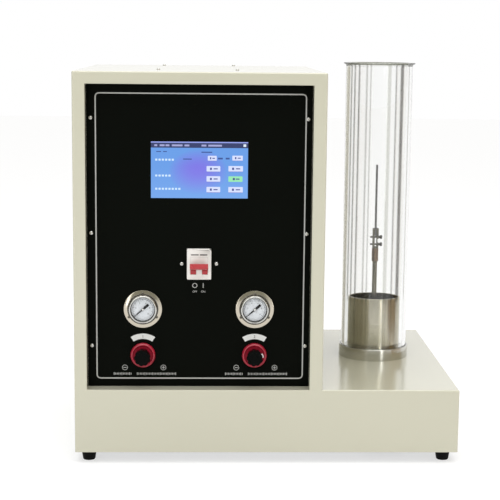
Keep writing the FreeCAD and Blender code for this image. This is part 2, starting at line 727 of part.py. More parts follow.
def make_base_plate():
    """The base plate: a shallow tray that closes the housing below and carries the feet."""
    body = new_body("base_plate")
    width = CABINET_RIGHT - (SHEET + GAP) * 2
    depth = REAR - SHEET * 3 - GAP * 2
    wall = size["base_sheet"]
    sketch = sketch_on(body, "XY_Plane")
    rectangle(sketch, 0, 0, width, depth)
    pad(body, sketch, size["base_edge"])
    sketch = sketch_on(body, "XY_Plane", size["base_edge"])
    rectangle(sketch, wall, wall, width - wall, depth - wall)
    pocket(body, sketch, size["base_edge"] - wall)
    sketch = sketch_on(body, "XY_Plane", wall)
    for x, y in FEET:
        circle(sketch, x - SHEET - GAP, y - SHEET - GAP, size["foot_screw"] + GAP)
    pocket(body, sketch, wall * 2)
    sketch = sketch_on(body, "XY_Plane", wall)
    slot_left = COLUMN_X - SHEET - GAP - size["vent_length"] / 2
    slot_right = slot_left + size["vent_length"]
    slot_front = wall * 20
    rectangle(sketch, slot_left, slot_front, slot_right, slot_front + size["vent_height"])
    slot = pocket(body, sketch, wall * 2)
    repeat_along(body, slot, "Y_Axis", size["vent_pitch"], 6)
    finish(body, "base_plate", SHEET + GAP, SHEET + GAP, 0)


def make_rear_panel():
    """The rear panel: L-shaped sheet with vent slots, a fan opening and the inlets' holes."""
    body = new_body("rear_panel")
    inset = SHEET + GAP
    sketch = sketch_on(body, "XZ_Plane")
    outline(sketch, l_shape(inset, 0))
    pad(body, sketch, SHEET, reverse=True)
    sketch = sketch_on(body, "XZ_Plane")
    for x, z in REAR_SCREWS + FAN_SCREWS:
        circle(sketch, x, z, size["screw_hole"])
    for _, x in GAS_SIDES:
        circle(sketch, x, REGULATOR_Z, size["inlet_thread"] + GAP)
    wide = size["inlet_body_width"]
    cut_out(sketch, size["power_inlet_x"], size["power_inlet_z"], wide, size["inlet_body_height"])
    pocket(body, sketch, SHEET)
    add_vents(body, size["fan_x"], size["fan_z"] - size["vent_pitch"] * 3.5, 8)
    add_vents(body, GAS_SIDES[0][1], size["fan_z"] - size["vent_pitch"] * 6, 14)
    finish(body, "rear_panel", 0, REAR - SHEET, 0)


def add_vents(body, middle, low, count):
    """A column of level vent slots in the rear panel."""
    half = size["vent_length"] / 2
    half_high = size["vent_height"] / 2
    sketch = sketch_on(body, "XZ_Plane")
    rectangle(sketch, middle - half, low - half_high, middle + half, low + half_high)
    slot = pocket(body, sketch, SHEET)
    repeat_along(body, slot, "Z_Axis", size["vent_pitch"], count)


def make_feet():
    """Four tapered rubber feet, each with a counterbore for its screw."""
    tall = size["foot_height"]
    hole = size["foot_screw"] + GAP
    wide = size["foot_screw_head"] + GAP * 2
    top = size["foot_top"]
    bottom = size["foot_bottom"]
    bore = size["foot_bore_depth"]
    foot = profile([
        (wide, 0), (bottom - 1, 0), (bottom, 1), (top, tall - 3), (top, tall), (hole, tall), (hole, bore),
        (wide, bore),
    ])
    gather("feet", [turned(foot, x, y, -tall, FACING_UP) for x, y in FEET])


def make_foot_screws():
    """The screws that hold the feet, heads up inside the counterbores."""
    seat = size["foot_bore_depth"] - size["foot_height"]
    length = size["base_sheet"] + size["foot_screw_thread"] - seat
    screw = screw_profile(size["foot_screw_head"], size["foot_screw_height"], size["foot_screw"], length)
    gather("foot_screws", [turned(screw, x, y, seat, FACING_DOWN) for x, y in FEET])


def make_cabinet_screws():
    """The pan-head screws of the roof, the rear panel and the fan."""
    head = size["screw_head"]
    tall = size["screw_head_height"]
    shank = size["screw_shank"]
    short = screw_profile(head, tall, shank, size["screw_length"])
    long = screw_profile(head, tall, shank, size["fan_screw_length"])
    screws = [turned(short, x, y, ROOF, FACING_UP) for x, y in ROOF_SCREWS]
    screws += [turned(short, x, REAR, z, FACING_REAR) for x, z in REAR_SCREWS]
    screws += [turned(long, x, REAR, z, FACING_REAR) for x, z in FAN_SCREWS]
    gather("cabinet_screws", screws)


def make_front_panel():
    """The recessed front panel with the cut-outs of everything that shows through it."""
    body = new_body("front_panel")
    left = size["opening_left"] + GAP
    low = PLINTH_TOP + GAP
    sketch = sketch_on(body, "XZ_Plane")
    rectangle(sketch, left, low, OPENING_RIGHT - GAP, OPENING_TOP - GAP)
    pad(body, sketch, size["panel_thickness"], reverse=True)
    sketch = sketch_on(body, "XZ_Plane")
    cut_out(sketch, PANEL_MIDDLE, DISPLAY_Z, size["screen_width"], size["screen_height"])
    cut_out(sketch, PANEL_MIDDLE, BREAKER_Z, size["breaker_width"], size["breaker_front"])
    for x, z in PANEL_SCREWS + BREAKER_SCREWS:
        circle(sketch, x, z, size["screw_hole"])
    for _, x in GAS_SIDES:
        circle(sketch, x, GAUGE_Z, size["gauge_can"] + GAP)
        circle(sketch, x, REGULATOR_Z, size["bonnet_radius"] + GAP)
        for u, v in GAUGE_SCREWS:
            circle(sketch, x + u, GAUGE_Z + v, size["gauge_screw_hole"])
    pocket(body, sketch, size["panel_thickness"])
    finish(body, "front_panel", 0, PANEL_FACE, 0)


def make_panel_screws():
    """The pan-head screws of the front panel and of the breaker's bracket."""
    tall = size["screw_head_height"]
    screw = screw_profile(size["screw_head"], tall, size["screw_shank"], size["screw_length"])
    seats = PANEL_SCREWS + BREAKER_SCREWS
    gather("panel_screws", [turned(screw, x, PANEL_FACE, z, FACING_FRONT) for x, z in seats])


def make_display():
    """The touch display: its glass in the panel's window, its body behind, and four clamps."""
    wide = size["screen_width"]
    tall = size["screen_height"]
    setback = size["glass_setback"]
    glass = new_body("display_glass")
    sketch = sketch_on(glass, "XZ_Plane")
    rectangle(sketch, -wide / 2, -tall / 2, wide / 2, tall / 2)
    pad(glass, sketch, size["panel_thickness"] - setback, reverse=True)
    finish(glass, "display_glass", PANEL_MIDDLE, PANEL_FACE + setback, DISPLAY_Z)

    rim_wide = size["display_width"]
    rim_tall = size["display_height"]
    rim = size["panel_thickness"] * 2
    case = new_body("display_body")
    sketch = sketch_on(case, "XZ_Plane")
    rectangle(sketch, -rim_wide / 2, -rim_tall / 2, rim_wide / 2, rim_tall / 2)
    pad(case, sketch, rim, reverse=True)
    sketch = sketch_on(case, "XZ_Plane", -rim)
    side = size["clamp_block"]
    rectangle(sketch, side - rim_wide / 2, side - rim_tall / 2, rim_wide / 2 - side, rim_tall / 2 - side)
    back = pad(case, sketch, size["display_depth"] - rim, reverse=True)
    rear = size["display_depth"].number
    round_edges(case, back, 3, lambda edge: near(edge.CenterOfMass.y, rear))
    finish(case, "display_body", PANEL_MIDDLE, PANEL_BACK, DISPLAY_Z)

    clamps = []
    for side_x in (-1, 1):
        for side_z in (-1, 1):
            x = side_x * (rim_wide / 2 - side / 2)
            z = side_z * rim_tall / 4
            arm = block(x - side / 2, 0, z - side / 2, side, side * 1.5, side)
            clamps.append(joined([arm, rod(x, 0, z, 2, side * 2.5, FACING_REAR)]))
    finish(group(clamps), "display_clamps", PANEL_MIDDLE, PANEL_BACK + rim, DISPLAY_Z)


def make_breaker():
    """The two-pole breaker, its linked toggle and the bracket that holds it."""
    wide = size["breaker_width"]
    nose = size["breaker_front"]
    reach = size["breaker_reach"]
    tall = size["breaker_tall"]
    well = size["lever_drum"] + size["run_gap"]
    body = new_body("breaker_body")
    sketch = sketch_on(body, "XZ_Plane", reach)
    cut = size["breaker_corner"]
    outline(sketch, [
        (-wide / 2, -nose / 2), (wide / 2, -nose / 2), (wide / 2, nose / 2 - cut),
        (wide / 2 - cut, nose / 2), (-wide / 2, nose / 2),
    ])
    front = pad(body, sketch, reach + size["panel_thickness"] + 1, reverse=True)
    round_edges(body, front, 1.6, lambda edge: spans(edge, 1) > 1 or near(edge.CenterOfMass.y, -reach.number))
    sketch = sketch_on(body, "XZ_Plane", -size["panel_thickness"] - 1)
    rectangle(sketch, -wide / 2, -tall / 2, wide / 2, tall / 2)
    pad(body, sketch, size["breaker_depth"] - size["panel_thickness"] - 1, reverse=True)
    for side in (-1, 1):
        middle = side * size["pole_pitch"] / 2
        sketch = sketch_on(body, "YZ_Plane", middle - size["lever_width"] / 2 - size["run_gap"])
        circle(sketch, 0, -size["lever_drop"], well)
        pocket(body, sketch, size["lever_width"] + size["run_gap"] * 2, reverse=True)
    finish(body, "breaker_body", PANEL_MIDDLE, PANEL_FACE, BREAKER_Z)

    tip = size["lever_reach"]
    thick = size["lever_thickness"]
    lever = size["lever_width"]
    parts = []
    for side in (-1, 1):
        left = side * size["pole_pitch"] / 2 - lever / 2
        parts.append(rod(left, 0, 0, size["lever_drum"], lever, FACING_RIGHT))
        parts.append(block(left, -tip, -thick / 2, lever, tip, thick))
    bar = size["tie_bar_width"]
    tall_bar = size["tie_bar_height"]
    parts.append(block(-bar / 2, -tip, -tall_bar / 2, bar, size["tie_bar_depth"], tall_bar))
    toggle = joined(parts)
    finish(toggle, "breaker_toggle", PANEL_MIDDLE, PANEL_FACE, LEVER_Z)
    bind(toggle, "Placement.Rotation.Axis.x", -1)
    bind(toggle, "Placement.Rotation.Axis.z", 0)
    bind(toggle, "Placement.Rotation.Angle", size["lever_lift"])

    bracket = new_body("breaker_bracket")
    inner = wide / 2 + size["run_gap"]
    outer = inner + SHEET
    far = size["breaker_screw_spacing"] / 2 + size["screw_head"] * 2
    back = size["breaker_depth"] - size["panel_thickness"]
    half = size["screw_head"] * 3
    sketch = sketch_on(bracket, "XY_Plane", -half)
    outline(sketch, [
        (-far, 0), (-inner, 0), (-inner, back), (inner, back), (inner, 0), (far, 0), (far, SHEET),
        (outer, SHEET), (outer, back + SHEET), (-outer, back + SHEET), (-outer, SHEET), (-far, SHEET),
    ])
    pad(bracket, sketch, half * 2)
    sketch = sketch_on(bracket, "XZ_Plane")
    for side in (-1, 1):
        circle(sketch, side * size["breaker_screw_spacing"] / 2, 0, size["screw_hole"])
    pocket(bracket, sketch, SHEET)
    finish(bracket, "breaker_bracket", PANEL_MIDDLE, PANEL_BACK, BREAKER_Z)


def make_gauge(gas, x):
    """A flange-mounted pressure gauge: case with bezel, dial, needle on its spindle, and lens."""
    can = size["gauge_can"]
    flange = size["flange_thickness"]
    top = size["bezel_height"]
    bezel = size["bezel_radius"]
    window = size["dial_window"]
    well = size["dial_radius"] + GAP
    lens_top = top - 1
    lens_low = lens_top - size["lens_thickness"]
    back = -size["gauge_depth"]
    stem = size["stem_radius"]
    stem_end = back - size["stem_length"]
    spindle = size["spindle_radius"]
    bore = spindle + size["bearing_gap"]
    spindle_low = -8
    case = new_body(gas + "_gauge_case")
    revolve(case, [
        (0, stem_end), (stem, stem_end), (stem, back), (can, back), (can, 0),
        (size["flange_radius"], 0), (size["flange_radius"], flange), (bezel, flange), (bezel - 1, top - 0.8),
        (bezel - 2, top), (window + 0.6, top), (window, top - 0.6), (window, lens_top), (well, lens_top),
        (well, flange), (bore, flange), (bore, spindle_low), (0, spindle_low),
    ])
    sketch = sketch_on(case, "XY_Plane", flange)
    for u, v in GAUGE_SCREWS:
        circle(sketch, u, v, size["gauge_screw_hole"])
    pocket(case, sketch, flange)
    finish(case, gas + "_gauge_case", x, PANEL_FACE, GAUGE_Z, FACING_FRONT)

    dial = new_body(gas + "_gauge_dial")
    thick = size["dial_thickness"]
    face = size["dial_radius"]
    revolve(dial, [(bore + 0.4, 0), (face, 0), (face, thick), (bore + 0.4, thick)])
    finish(dial, gas + "_gauge_dial", x, PANEL_FACE - flange, GAUGE_Z, FACING_FRONT)

    lens = new_body(gas + "_gauge_lens")
    glass = size["lens_thickness"]
    revolve(lens, [(0, 0), (face, 0), (face, glass), (0, glass)])
    finish(lens, gas + "_gauge_lens", x, PANEL_FACE - lens_low, GAUGE_Z, FACING_FRONT)

    needle = new_body(gas + "_gauge_needle")
    low = flange + thick + 0.4
    high_side = lens_low - 0.7
    revolve(needle, [
        (0, spindle_low + 0.3), (spindle, spindle_low + 0.3), (spindle, low), (2, low), (2, high_side),
        (0, high_side),
    ])
    sketch = sketch_on(needle, "XY_Plane", low + 0.3)
    reach = size["needle_reach"]
    tail = size["needle_tail"]
    along = math.cos(NEEDLE_ZERO)
    across = math.sin(NEEDLE_ZERO)
    root = size["needle_width"] / 2
    broad = size["tail_width"] / 2
    pointer = [
        (reach, 0.3), (reach, -0.3), (0, -root), (-3, -root), (-3.5, -broad), (-tail, -broad),
        (-tail, broad), (-3.5, broad), (-3, root), (0, root),
    ]
    outline(sketch, [(u * along - v * across, u * across + v * along) for u, v in pointer])
    pad(needle, sketch, 0.7)
    finish(needle, gas + "_gauge_needle", x, PANEL_FACE, GAUGE_Z, FACING_FRONT)


def make_gauge_screws():
    """The small screws through both gauges' flanges."""
    shank = size["gauge_screw_hole"] - GAP
    head = size["gauge_screw_height"]
    screw = screw_profile(size["gauge_screw_head"], head, shank, size["gauge_screw_length"])
    seat = PANEL_FACE - size["flange_thickness"]
    screws = []
    for _, x in GAS_SIDES:
        for u, v in GAUGE_SCREWS:
            screws.append(turned(screw, x + u, seat, GAUGE_Z + v, FACING_FRONT))
    gather("gauge_screws", screws)


def make_gauge_pipes():
    """A square elbow behind each gauge with a pipe down to its regulator."""
    pipes = []
    side = size["elbow_size"]
    drop = size["gauge_middle"] - size["regulator_middle"] - size["regulator_block"] / 2 - size["port_length"]
    for _, x in GAS_SIDES:
        left = x - PANEL_MIDDLE - side / 2
        elbow = block(left, -side / 2, -side / 2, side, side, side)
        pipes.append(joined([elbow, rod(x - PANEL_MIDDLE, 0, -drop, size["tube_radius"], drop)]))
    finish(group(pipes), "gauge_pipes", PANEL_MIDDLE, ELBOW_Y, GAUGE_Z)


def make_regulator(gas, x):
    """A pressure regulator: body behind the panel, ring in front of it, and the fluted knob."""
    setback = size["regulator_setback"]
    side = size["regulator_block"]
    bonnet = size["bonnet_radius"]
    ring_top = size["ring_height"]
    stub = size["adjuster_radius"]
    stub_top = ring_top + size["adjuster_length"]
    body = new_body(gas + "_regulator_body")
    sketch = sketch_on(body, "XY_Plane", -setback - side)
    rectangle(sketch, -side / 2, -side / 2, side / 2, side / 2)
    cube = pad(body, sketch, side)
    round_edges(body, cube, 4, lambda edge: spans(edge, 2) > 1)
    turnings = ((-setback, bonnet, setback + ring_top), (ring_top, stub, size["adjuster_length"]))
    for level, radius, length in turnings:
        sketch = sketch_on(body, "XY_Plane", level)
        circle(sketch, 0, 0, radius)
        pad(body, sketch, length)
    port = size["port_radius"]
    middle = ELBOW_Y - PANEL_FACE
    for lift, upward in ((side / 2, False), (-side / 2, True)):
        sketch = sketch_on(body, "XZ_Plane", lift)
        circle(sketch, 0, -middle, port)
        pad(body, sketch, size["port_length"], reverse=upward)
    sketch = sketch_on(body, "XY_Plane", -setback - side)
    circle(sketch, 0, 0, port)
    pad(body, sketch, size["port_length"], reverse=True)
    finish(body, gas + "_regulator_body", x, PANEL_FACE, REGULATOR_Z, FACING_FRONT)

    ring = new_body(gas + "_regulator_ring")
    wide = size["ring_radius"]
    inner = bonnet + GAP / 2
    revolve(ring, [
        (inner, 0), (wide, 0), (wide, ring_top * 0.45), (wide - ring_top * 0.12, ring_top * 0.75),
        (wide - ring_top * 0.4, ring_top), (inner, ring_top),
    ])
    finish(ring, gas + "_regulator_ring", x, PANEL_FACE, REGULATOR_Z, FACING_FRONT)

    knob = new_body(gas + "_knob")
    radius = size["knob_radius"]
    root = size["knob_root"]
    low = ring_top + size["run_gap"]
    face = size["knob_face"]
    bore = stub + size["bearing_gap"]
    well_top = stub_top + size["run_gap"]
    revolve(knob, [
        (bore, low), (root, low), (radius, face - 0.6), (radius - 0.6, face), (radius - 4, face),
        (radius - 5, face - 1), (0, face - 1), (0, well_top), (bore, well_top),
    ])
    sketch = sketch_on(knob, "XY_Plane", low)
    circle(sketch, radius + size["flute_radius"] * 0.45, 0, size["flute_radius"])
    flute = pocket(knob, sketch, face - low, reverse=True)
    repeat_round(knob, flute, 9)
    finish(knob, gas + "_knob", x, PANEL_FACE, REGULATOR_Z, FACING_FRONT)


def straight_tube(x, length):
    """A straight gas tube along Y."""
    outer = rod(x, 0, 0, size["tube_radius"], length, FACING_REAR)
    return without(outer, [rod(x, 0, 0, size["tube_bore"], length, FACING_REAR)])


def bent_rod(x, drop, run, bend, radius):
    """A round bar that runs down from its place, turns and runs on along +Y."""
    upright = rod(x, 0, bend - drop, radius, drop - bend)
    elbow = doc.addObject("Part::Torus", "Elbow")
    bind(elbow, "Radius1", bend)
    bind(elbow, "Radius2", radius)
    elbow.Angle3 = 90
    place(elbow, x, bend, bend - drop, ELBOW_TURN)
    level = rod(x, bend, -drop, radius, run - bend, FACING_REAR)
    return joined([upright, elbow, level])


def bent_tube(x, drop, run, bend):
    """A gas tube that follows the same way as a bent rod."""
    outer = bent_rod(x, drop, run, bend, size["tube_radius"])
    return without(outer, [bent_rod(x, drop, run, bend, size["tube_bore"])])


def make_gas_inlets():
    """The two gas inlets: tail, collar and thread, with the nuts that hold them."""
    tail = size["tail_reach"]
    collar = size["inlet_hex"]
    thread = size["inlet_thread"]
    bore = size["inlet_bore"]
    stem = size["tube_radius"]
    inside = -SHEET - size["inlet_inside"]
    inlet = profile([
        (bore, inside), (thread, inside), (thread, 0), (collar, 0), (collar, 6), (stem, 6), (stem, tail - 3),
        (stem - 0.8, tail), (bore, tail),
    ])
    gather("gas_inlets", [turned(inlet, x, REAR, REGULATOR_Z, FACING_REAR) for _, x in GAS_SIDES])
    hole = thread + GAP / 2
    nut_low = -SHEET - collar * 0.6
    nut = profile([(hole, nut_low), (collar, nut_low), (collar, -SHEET), (hole, -SHEET)])
    gather("inlet_nuts", [turned(nut, x, REAR, REGULATOR_Z, FACING_REAR) for _, x in GAS_SIDES])


def make_gas_lines():
    """The tubes from the inlets to the regulators, and from them to the flow controllers."""
    start = REGULATOR_BACK + size["port_length"]
    end = REAR - SHEET - size["inlet_inside"]
    supplies = [straight_tube(x, end - start) for _, x in GAS_SIDES]
    finish(group(supplies), "supply_tubes", 0, start, REGULATOR_Z)

    top = REGULATOR_Z - size["regulator_block"] / 2 - size["port_length"]
    drop = top - size["gas_line_height"]
    run = size["controller_front"] - size["nipple_length"] - ELBOW_Y
    feeds = [bent_tube(x, drop, run, size["feed_bend"]) for _, x in GAS_SIDES]
    finish(group(feeds), "feed_tubes", 0, ELBOW_Y, top)


def make_flow_controllers():
    """The two flow controllers: steel base with nipples, and the housing of the valve and sensor."""
    controllers = []
    wide = size["controller_width"]
    length = size["controller_length"]
    base = size["controller_base"]
    upper = size["controller_height"] - base
    axis = size["gas_line_height"] - size["base_sheet"]
    reach = MANIFOLD_FRONT - size["controller_front"] - length
    for _, x in GAS_SIDES:
        controllers.append(joined([
            block(x - wide / 2, 0, 0, wide, length, base),
            block(x - wide / 2 + 1, length * 0.15, base, wide - 2, length * 0.7, upper),
            rod(x, -size["nipple_length"], axis, size["nipple_radius"], size["nipple_length"], FACING_REAR),
            rod(x, length, axis, size["nipple_radius"], reach, FACING_REAR),
        ]))
    finish(group(controllers), "flow_controllers", 0, size["controller_front"], size["base_sheet"])


def make_mixing_manifold():
    """The manifold that mixes the two gases, with the oxygen sensor on top."""
    side = size["manifold_width"]
    length = size["manifold_length"]
    axis = size["gas_line_height"] - size["base_sheet"]
    bar = block(0, 0, 0, length, side, side)
    outlet = rod(length, side / 2, axis, size["nipple_radius"], size["nipple_length"], FACING_RIGHT)
    finish(joined([bar, outlet]), "mixing_manifold", MANIFOLD_LEFT, MANIFOLD_FRONT, size["base_sheet"])

    sensor = new_body("oxygen_sensor")
    radius = size["sensor_radius"]
    tall = size["sensor_height"]
    revolve(sensor, [
        (0, 0), (radius * 0.75, 0), (radius * 0.75, tall * 0.2), (radius, tall * 0.2), (radius, tall * 0.85),
        (radius * 0.6, tall * 0.85), (radius * 0.6, tall), (0, tall),
    ])
    finish(sensor, "oxygen_sensor", PANEL_MIDDLE, COLUMN_Y, size["base_sheet"] + side)


def make_column_feed():
    """The tube from the manifold to the column, and the nipple under the column's base."""
    nipple_low = PLINTH_TOP - SHEET - size["nipple_drop"]
    drop = nipple_low - size["gas_line_height"]
    run = COLUMN_X - MANIFOLD_LEFT - size["manifold_length"] - size["nipple_length"]
    tube = bent_tube(0, drop, run, size["column_bend"])
    finish(tube, "column_feed_tube", COLUMN_X, COLUMN_Y, nipple_low, QUARTER_TURN)

    nipple = new_body("column_nipple")
    stem = size["column_nipple"]
    collar = size["column_nipple_collar"]
    bore = size["inlet_bore"]
    seat = size["nipple_drop"]
    top = seat + SHEET + size["base_height"] - size["plenum_depth"]
    revolve(nipple, [
        (bore, 0), (stem, 0), (stem, seat - 6), (collar, seat - 6), (collar, seat), (stem, seat),
        (stem, top), (bore, top),
    ])
    finish(nipple, "column_nipple", COLUMN_X, COLUMN_Y, nipple_low)


def make_column_base():
    """The steel base: a groove for the chimney, a hollow under the cup and three tapped holes."""
    body = new_body("column_base")
    radius = size["base_radius"]
    tall = size["base_height"]
    bore = size["column_nipple"] + GAP
    outer = size["chimney_outer"] + size["run_gap"]
    inner = size["chimney_inner"] - size["run_gap"]
    groove = tall - size["groove_depth"]
    plenum = size["plenum_radius"]
    hollow = tall - size["plenum_depth"]
    revolve(body, [
        (bore, 0), (radius, 0), (radius, tall - 0.8), (radius - 0.8, tall), (outer, tall), (outer, groove),
        (inner, groove), (inner, tall), (plenum, tall), (plenum, hollow), (bore, hollow),
    ])
    sketch = sketch_on(body, "XY_Plane")
    for x, y in COLUMN_SCREWS:
        circle(sketch, x, y, size["column_screw"] + GAP)
    pocket(body, sketch, size["column_screw_grip"] + SHEET, reverse=True)
    finish(body, "column_base", COLUMN_X, COLUMN_Y, PLINTH_TOP)

    seal = new_body("column_seal")
    thick = size["seal_thickness"]
    revolve(seal, [(inner + GAP, 0), (outer - GAP, 0), (outer - GAP, thick), (inner + GAP, thick)])
    finish(seal, "column_seal", COLUMN_X, COLUMN_Y, PLINTH_TOP + groove)

    shank = SHEET + size["column_screw_grip"]
    screw = screw_profile(size["foot_screw_head"], size["column_screw_head"], size["column_screw"], shank)
    seat = PLINTH_TOP - SHEET
    screws = [turned(screw, COLUMN_X + x, COLUMN_Y + y, seat, FACING_DOWN) for x, y in COLUMN_SCREWS]
    gather("column_screws", screws)


def make_mixing_cup():
    """The brushed steel cup: drilled floor, and a boss that the specimen holder stands in."""
    cup = new_body("mixing_cup")
    outer = size["cup_outer"]
    inner = size["cup_inner"]
    tall = size["cup_height"]
    floor = size["cup_floor"]
    boss = size["boss_radius"]
    boss_top = floor + size["boss_height"]
    bore = size["post_radius"] + size["bearing_gap"]
    revolve(cup, [
        (0, 0), (outer, 0), (outer, tall - 0.8), (outer - 0.8, tall), (inner + 0.8, tall),
        (inner, tall - 0.8), (inner, floor), (boss, floor), (boss, boss_top), (bore, boss_top),
        (bore, floor + 0.7), (0, floor + 0.7),
    ])
    sketch = sketch_on(cup, "XY_Plane")
    circle(sketch, boss * 2, 0, 2)
    hole = pocket(cup, sketch, floor, reverse=True)
    repeat_round(cup, hole, 6)
    finish(cup, "mixing_cup", COLUMN_X, COLUMN_Y, BASE_TOP)

    hole_radius = size["boss_radius"] + size["run_gap"]
    edge = inner - size["run_gap"]
    beads = new_body("glass_beads")
    deep_bed = size["bead_depth"]
    revolve(beads, [(hole_radius, 0), (edge, 0), (edge, deep_bed), (hole_radius, deep_bed)])
    finish(beads, "glass_beads", COLUMN_X, COLUMN_Y, CUP_FLOOR)

    screen = new_body("wire_screen")
    thick = size["screen_thickness"]
    neck = size["post_radius"] + size["run_gap"]
    revolve(screen, [(neck, 0), (edge, 0), (edge, thick), (neck, thick)])
    finish(screen, "wire_screen", COLUMN_X, COLUMN_Y, CUP_FLOOR + deep_bed)


def make_glass_tube():
    """The glass chimney: a straight tube with a flared lip round its mouth."""
    tube = new_body("glass_tube")
    outer = size["chimney_outer"]
    inner = size["chimney_inner"]
    lip = size["chimney_lip"]
    tall = size["chimney_height"]
    under = tall - size["lip_thickness"]
    revolve(tube, [
        (inner, 0), (outer, 0), (outer, under - 1.5), (outer + 1.2, under), (lip - 0.7, under),
        (lip, under + 0.7), (lip, tall - 0.7), (lip - 0.7, tall), (inner, tall),
    ])
    foot = BASE_TOP - size["groove_depth"] + size["seal_thickness"] + size["run_gap"]
    finish(tube, "glass_tube", COLUMN_X, COLUMN_Y, foot)


def make_specimen_holder():
    """The holder: tube, socket, two-leaf clamp and the bar specimen that it grips."""
    post = size["post_radius"]
    top = size["post_top"]
    tube = new_body("holder_tube")
    revolve(tube, [(post - 1, 0), (post, 0), (post, top - HOLDER_FOOT), (post - 1, top - HOLDER_FOOT)])
    finish(tube, "holder_tube", COLUMN_X, COLUMN_Y, HOLDER_FOOT)

    socket = new_body("holder_socket")
    wide = size["socket_radius"]
    low = top - size["socket_overlap"]
    mouth = post + size["bearing_gap"]
    neck = size["spigot_radius"] + size["bearing_gap"]
    reach = size["socket_top"] - low
    shelf = size["socket_overlap"] + 0.2
    revolve(socket, [
        (mouth, 0), (wide - 1, 0), (wide, 1), (wide, reach), (neck, reach), (neck, shelf), (mouth, shelf),
    ])
    finish(socket, "holder_socket", COLUMN_X, COLUMN_Y, low)

    half = size["specimen_thickness"] / 2
    leaf = size["leaf_thickness"]
    depth = size["clamp_depth"]
    foot = size["clamp_foot"]
    tall = size["clamp_height"]
    base = block(-half - leaf, -depth / 2, 0, half * 2 + leaf * 2, depth, foot)
    fixed = block(-half - leaf, -depth / 2, foot, leaf, depth, tall - foot)
    spigot = rod(0, 0, -size["spigot_length"], size["spigot_radius"], size["spigot_length"])
    thread = size["thumbscrew_radius"] + size["bearing_gap"]
    holes = [
        rod(-half - leaf - 1, 0, height, thread, leaf + 2, FACING_RIGHT)
        for height in (size["upper_screw_height"], size["lower_screw_height"])
    ]
    clamp = without(joined([base, fixed, spigot]), holes)
    finish(clamp, "clamp_body", COLUMN_X, COLUMN_Y, size["socket_top"])

    play = size["run_gap"]
    low_jaw = foot + play
    jaw = block(half + play, -depth / 2, low_jaw, leaf, depth, tall - low_jaw)
    window_low = size["lower_screw_height"] + 3
    window_tall = size["upper_screw_height"] - 3 - window_low
    window = block(half + play + leaf * 0.45, -depth, window_low, leaf, depth * 2, window_tall)
    holes = [
        rod(half + play - 1, 0, height, thread, leaf + 2, FACING_RIGHT)
        for height in (size["upper_screw_height"], size["lower_screw_height"])
    ]
    finish(without(jaw, [window] + holes), "clamp_jaw", COLUMN_X, COLUMN_Y, size["socket_top"])

    shoulder = half + leaf + play * 2
    knob_start = size["thumbscrew_reach"] - size["knob_thickness"]
    tip = -size["thumbscrew_tip"]
    grip = size["thumbscrew_knob"]
    thin = size["thumbscrew_radius"]
    end = size["thumbscrew_reach"]
    for name in ("upper", "lower"):
        thumbscrew = new_body(name + "_thumbscrew")
        revolve(thumbscrew, [
            (0, tip), (thin - 0.4, tip), (thin, tip + 0.4), (thin, shoulder), (thin + 0.7, shoulder),
            (thin + 0.7, knob_start), (grip, knob_start), (grip, end - 0.6), (grip - 0.6, end), (0, end),
        ])
        level = size["socket_top"] + size[name + "_screw_height"]
        finish(thumbscrew, name + "_thumbscrew", COLUMN_X, COLUMN_Y, level, FACING_RIGHT)

    wide = size["specimen_width"]
    bar_low = size["socket_top"] + size["upper_screw_height"] + thread + 0.6
    bar = block(0, 0, 0, half * 2, wide, size["specimen_length"])
    finish(bar, "specimen", COLUMN_X - half, COLUMN_Y - wide / 2, bar_low)


def make_control_tray():
    """The tray that hangs under the roof, with the control board on its standoffs."""
    tray = new_body("control_tray")
    middle = size["roof_screw_spacing"] / 2
    outer = middle + size["tray_flange"] / 2
    inner = middle - size["tray_flange"] / 2
    tall = size["tray_height"]
    front = size["roof_screw_front"] - size["tray_flange"] / 2
    length = ROOF_SCREW_BACK + size["tray_flange"] / 2 - front
    sketch = sketch_on(tray, "XZ_Plane")
    outline(sketch, [
        (-outer, 0), (-inner, 0), (-inner, SHEET - tall), (inner, SHEET - tall), (inner, 0), (outer, 0),
        (outer, -SHEET), (inner + SHEET, -SHEET), (inner + SHEET, -tall), (-inner - SHEET, -tall),
        (-inner - SHEET, -SHEET), (-outer, -SHEET),
    ])
    pad(tray, sketch, length, reverse=True)
    sketch = sketch_on(tray, "XY_Plane")
    for x, y in ROOF_SCREWS:
        circle(sketch, x - ROOF_MIDDLE, y - front, size["screw_hole"])
    pocket(tray, sketch, SHEET)
    finish(tray, "control_tray", ROOF_MIDDLE, front, ROOF - SHEET)

    floor = ROOF - tall
    wide = size["board_width"]
    long = size["board_length"]
    board_front = size["roof_screw_front"] + size["tray_flange"]
    edge = size["standoff_radius"] * 1.5
    posts = [
        rod(x, y, 0, size["standoff_radius"], size["standoff_height"])
        for x in (edge - wide / 2, wide / 2 - edge)
        for y in (edge, long - edge)
    ]
    finish(group(posts), "board_standoffs", ROOF_MIDDLE, board_front, floor)

    thick = size["board_thickness"]
    parts = [
        block(-wide / 2, 0, 0, wide, long, thick),
        block(-wide * 0.42, long * 0.1, thick, wide * 0.14, long * 0.5, thick * 7),
        block(wide * 0.28, long * 0.1, thick, wide * 0.14, long * 0.35, thick * 7),
        block(-wide * 0.16, long * 0.2, thick, wide * 0.3, wide * 0.3, thick * 2),
        block(-wide * 0.2, long * 0.5, thick, wide * 0.2, wide * 0.3, thick * 9),
        block(wide * 0.05, long * 0.5, thick, wide * 0.2, wide * 0.3, thick * 9),
        rod(-wide * 0.15, long * 0.85, thick, wide * 0.08, thick * 12),
        rod(wide * 0.1, long * 0.85, thick, wide * 0.08, thick * 12),
    ]
    finish(joined(parts), "control_board", ROOF_MIDDLE, board_front, floor + size["standoff_height"])


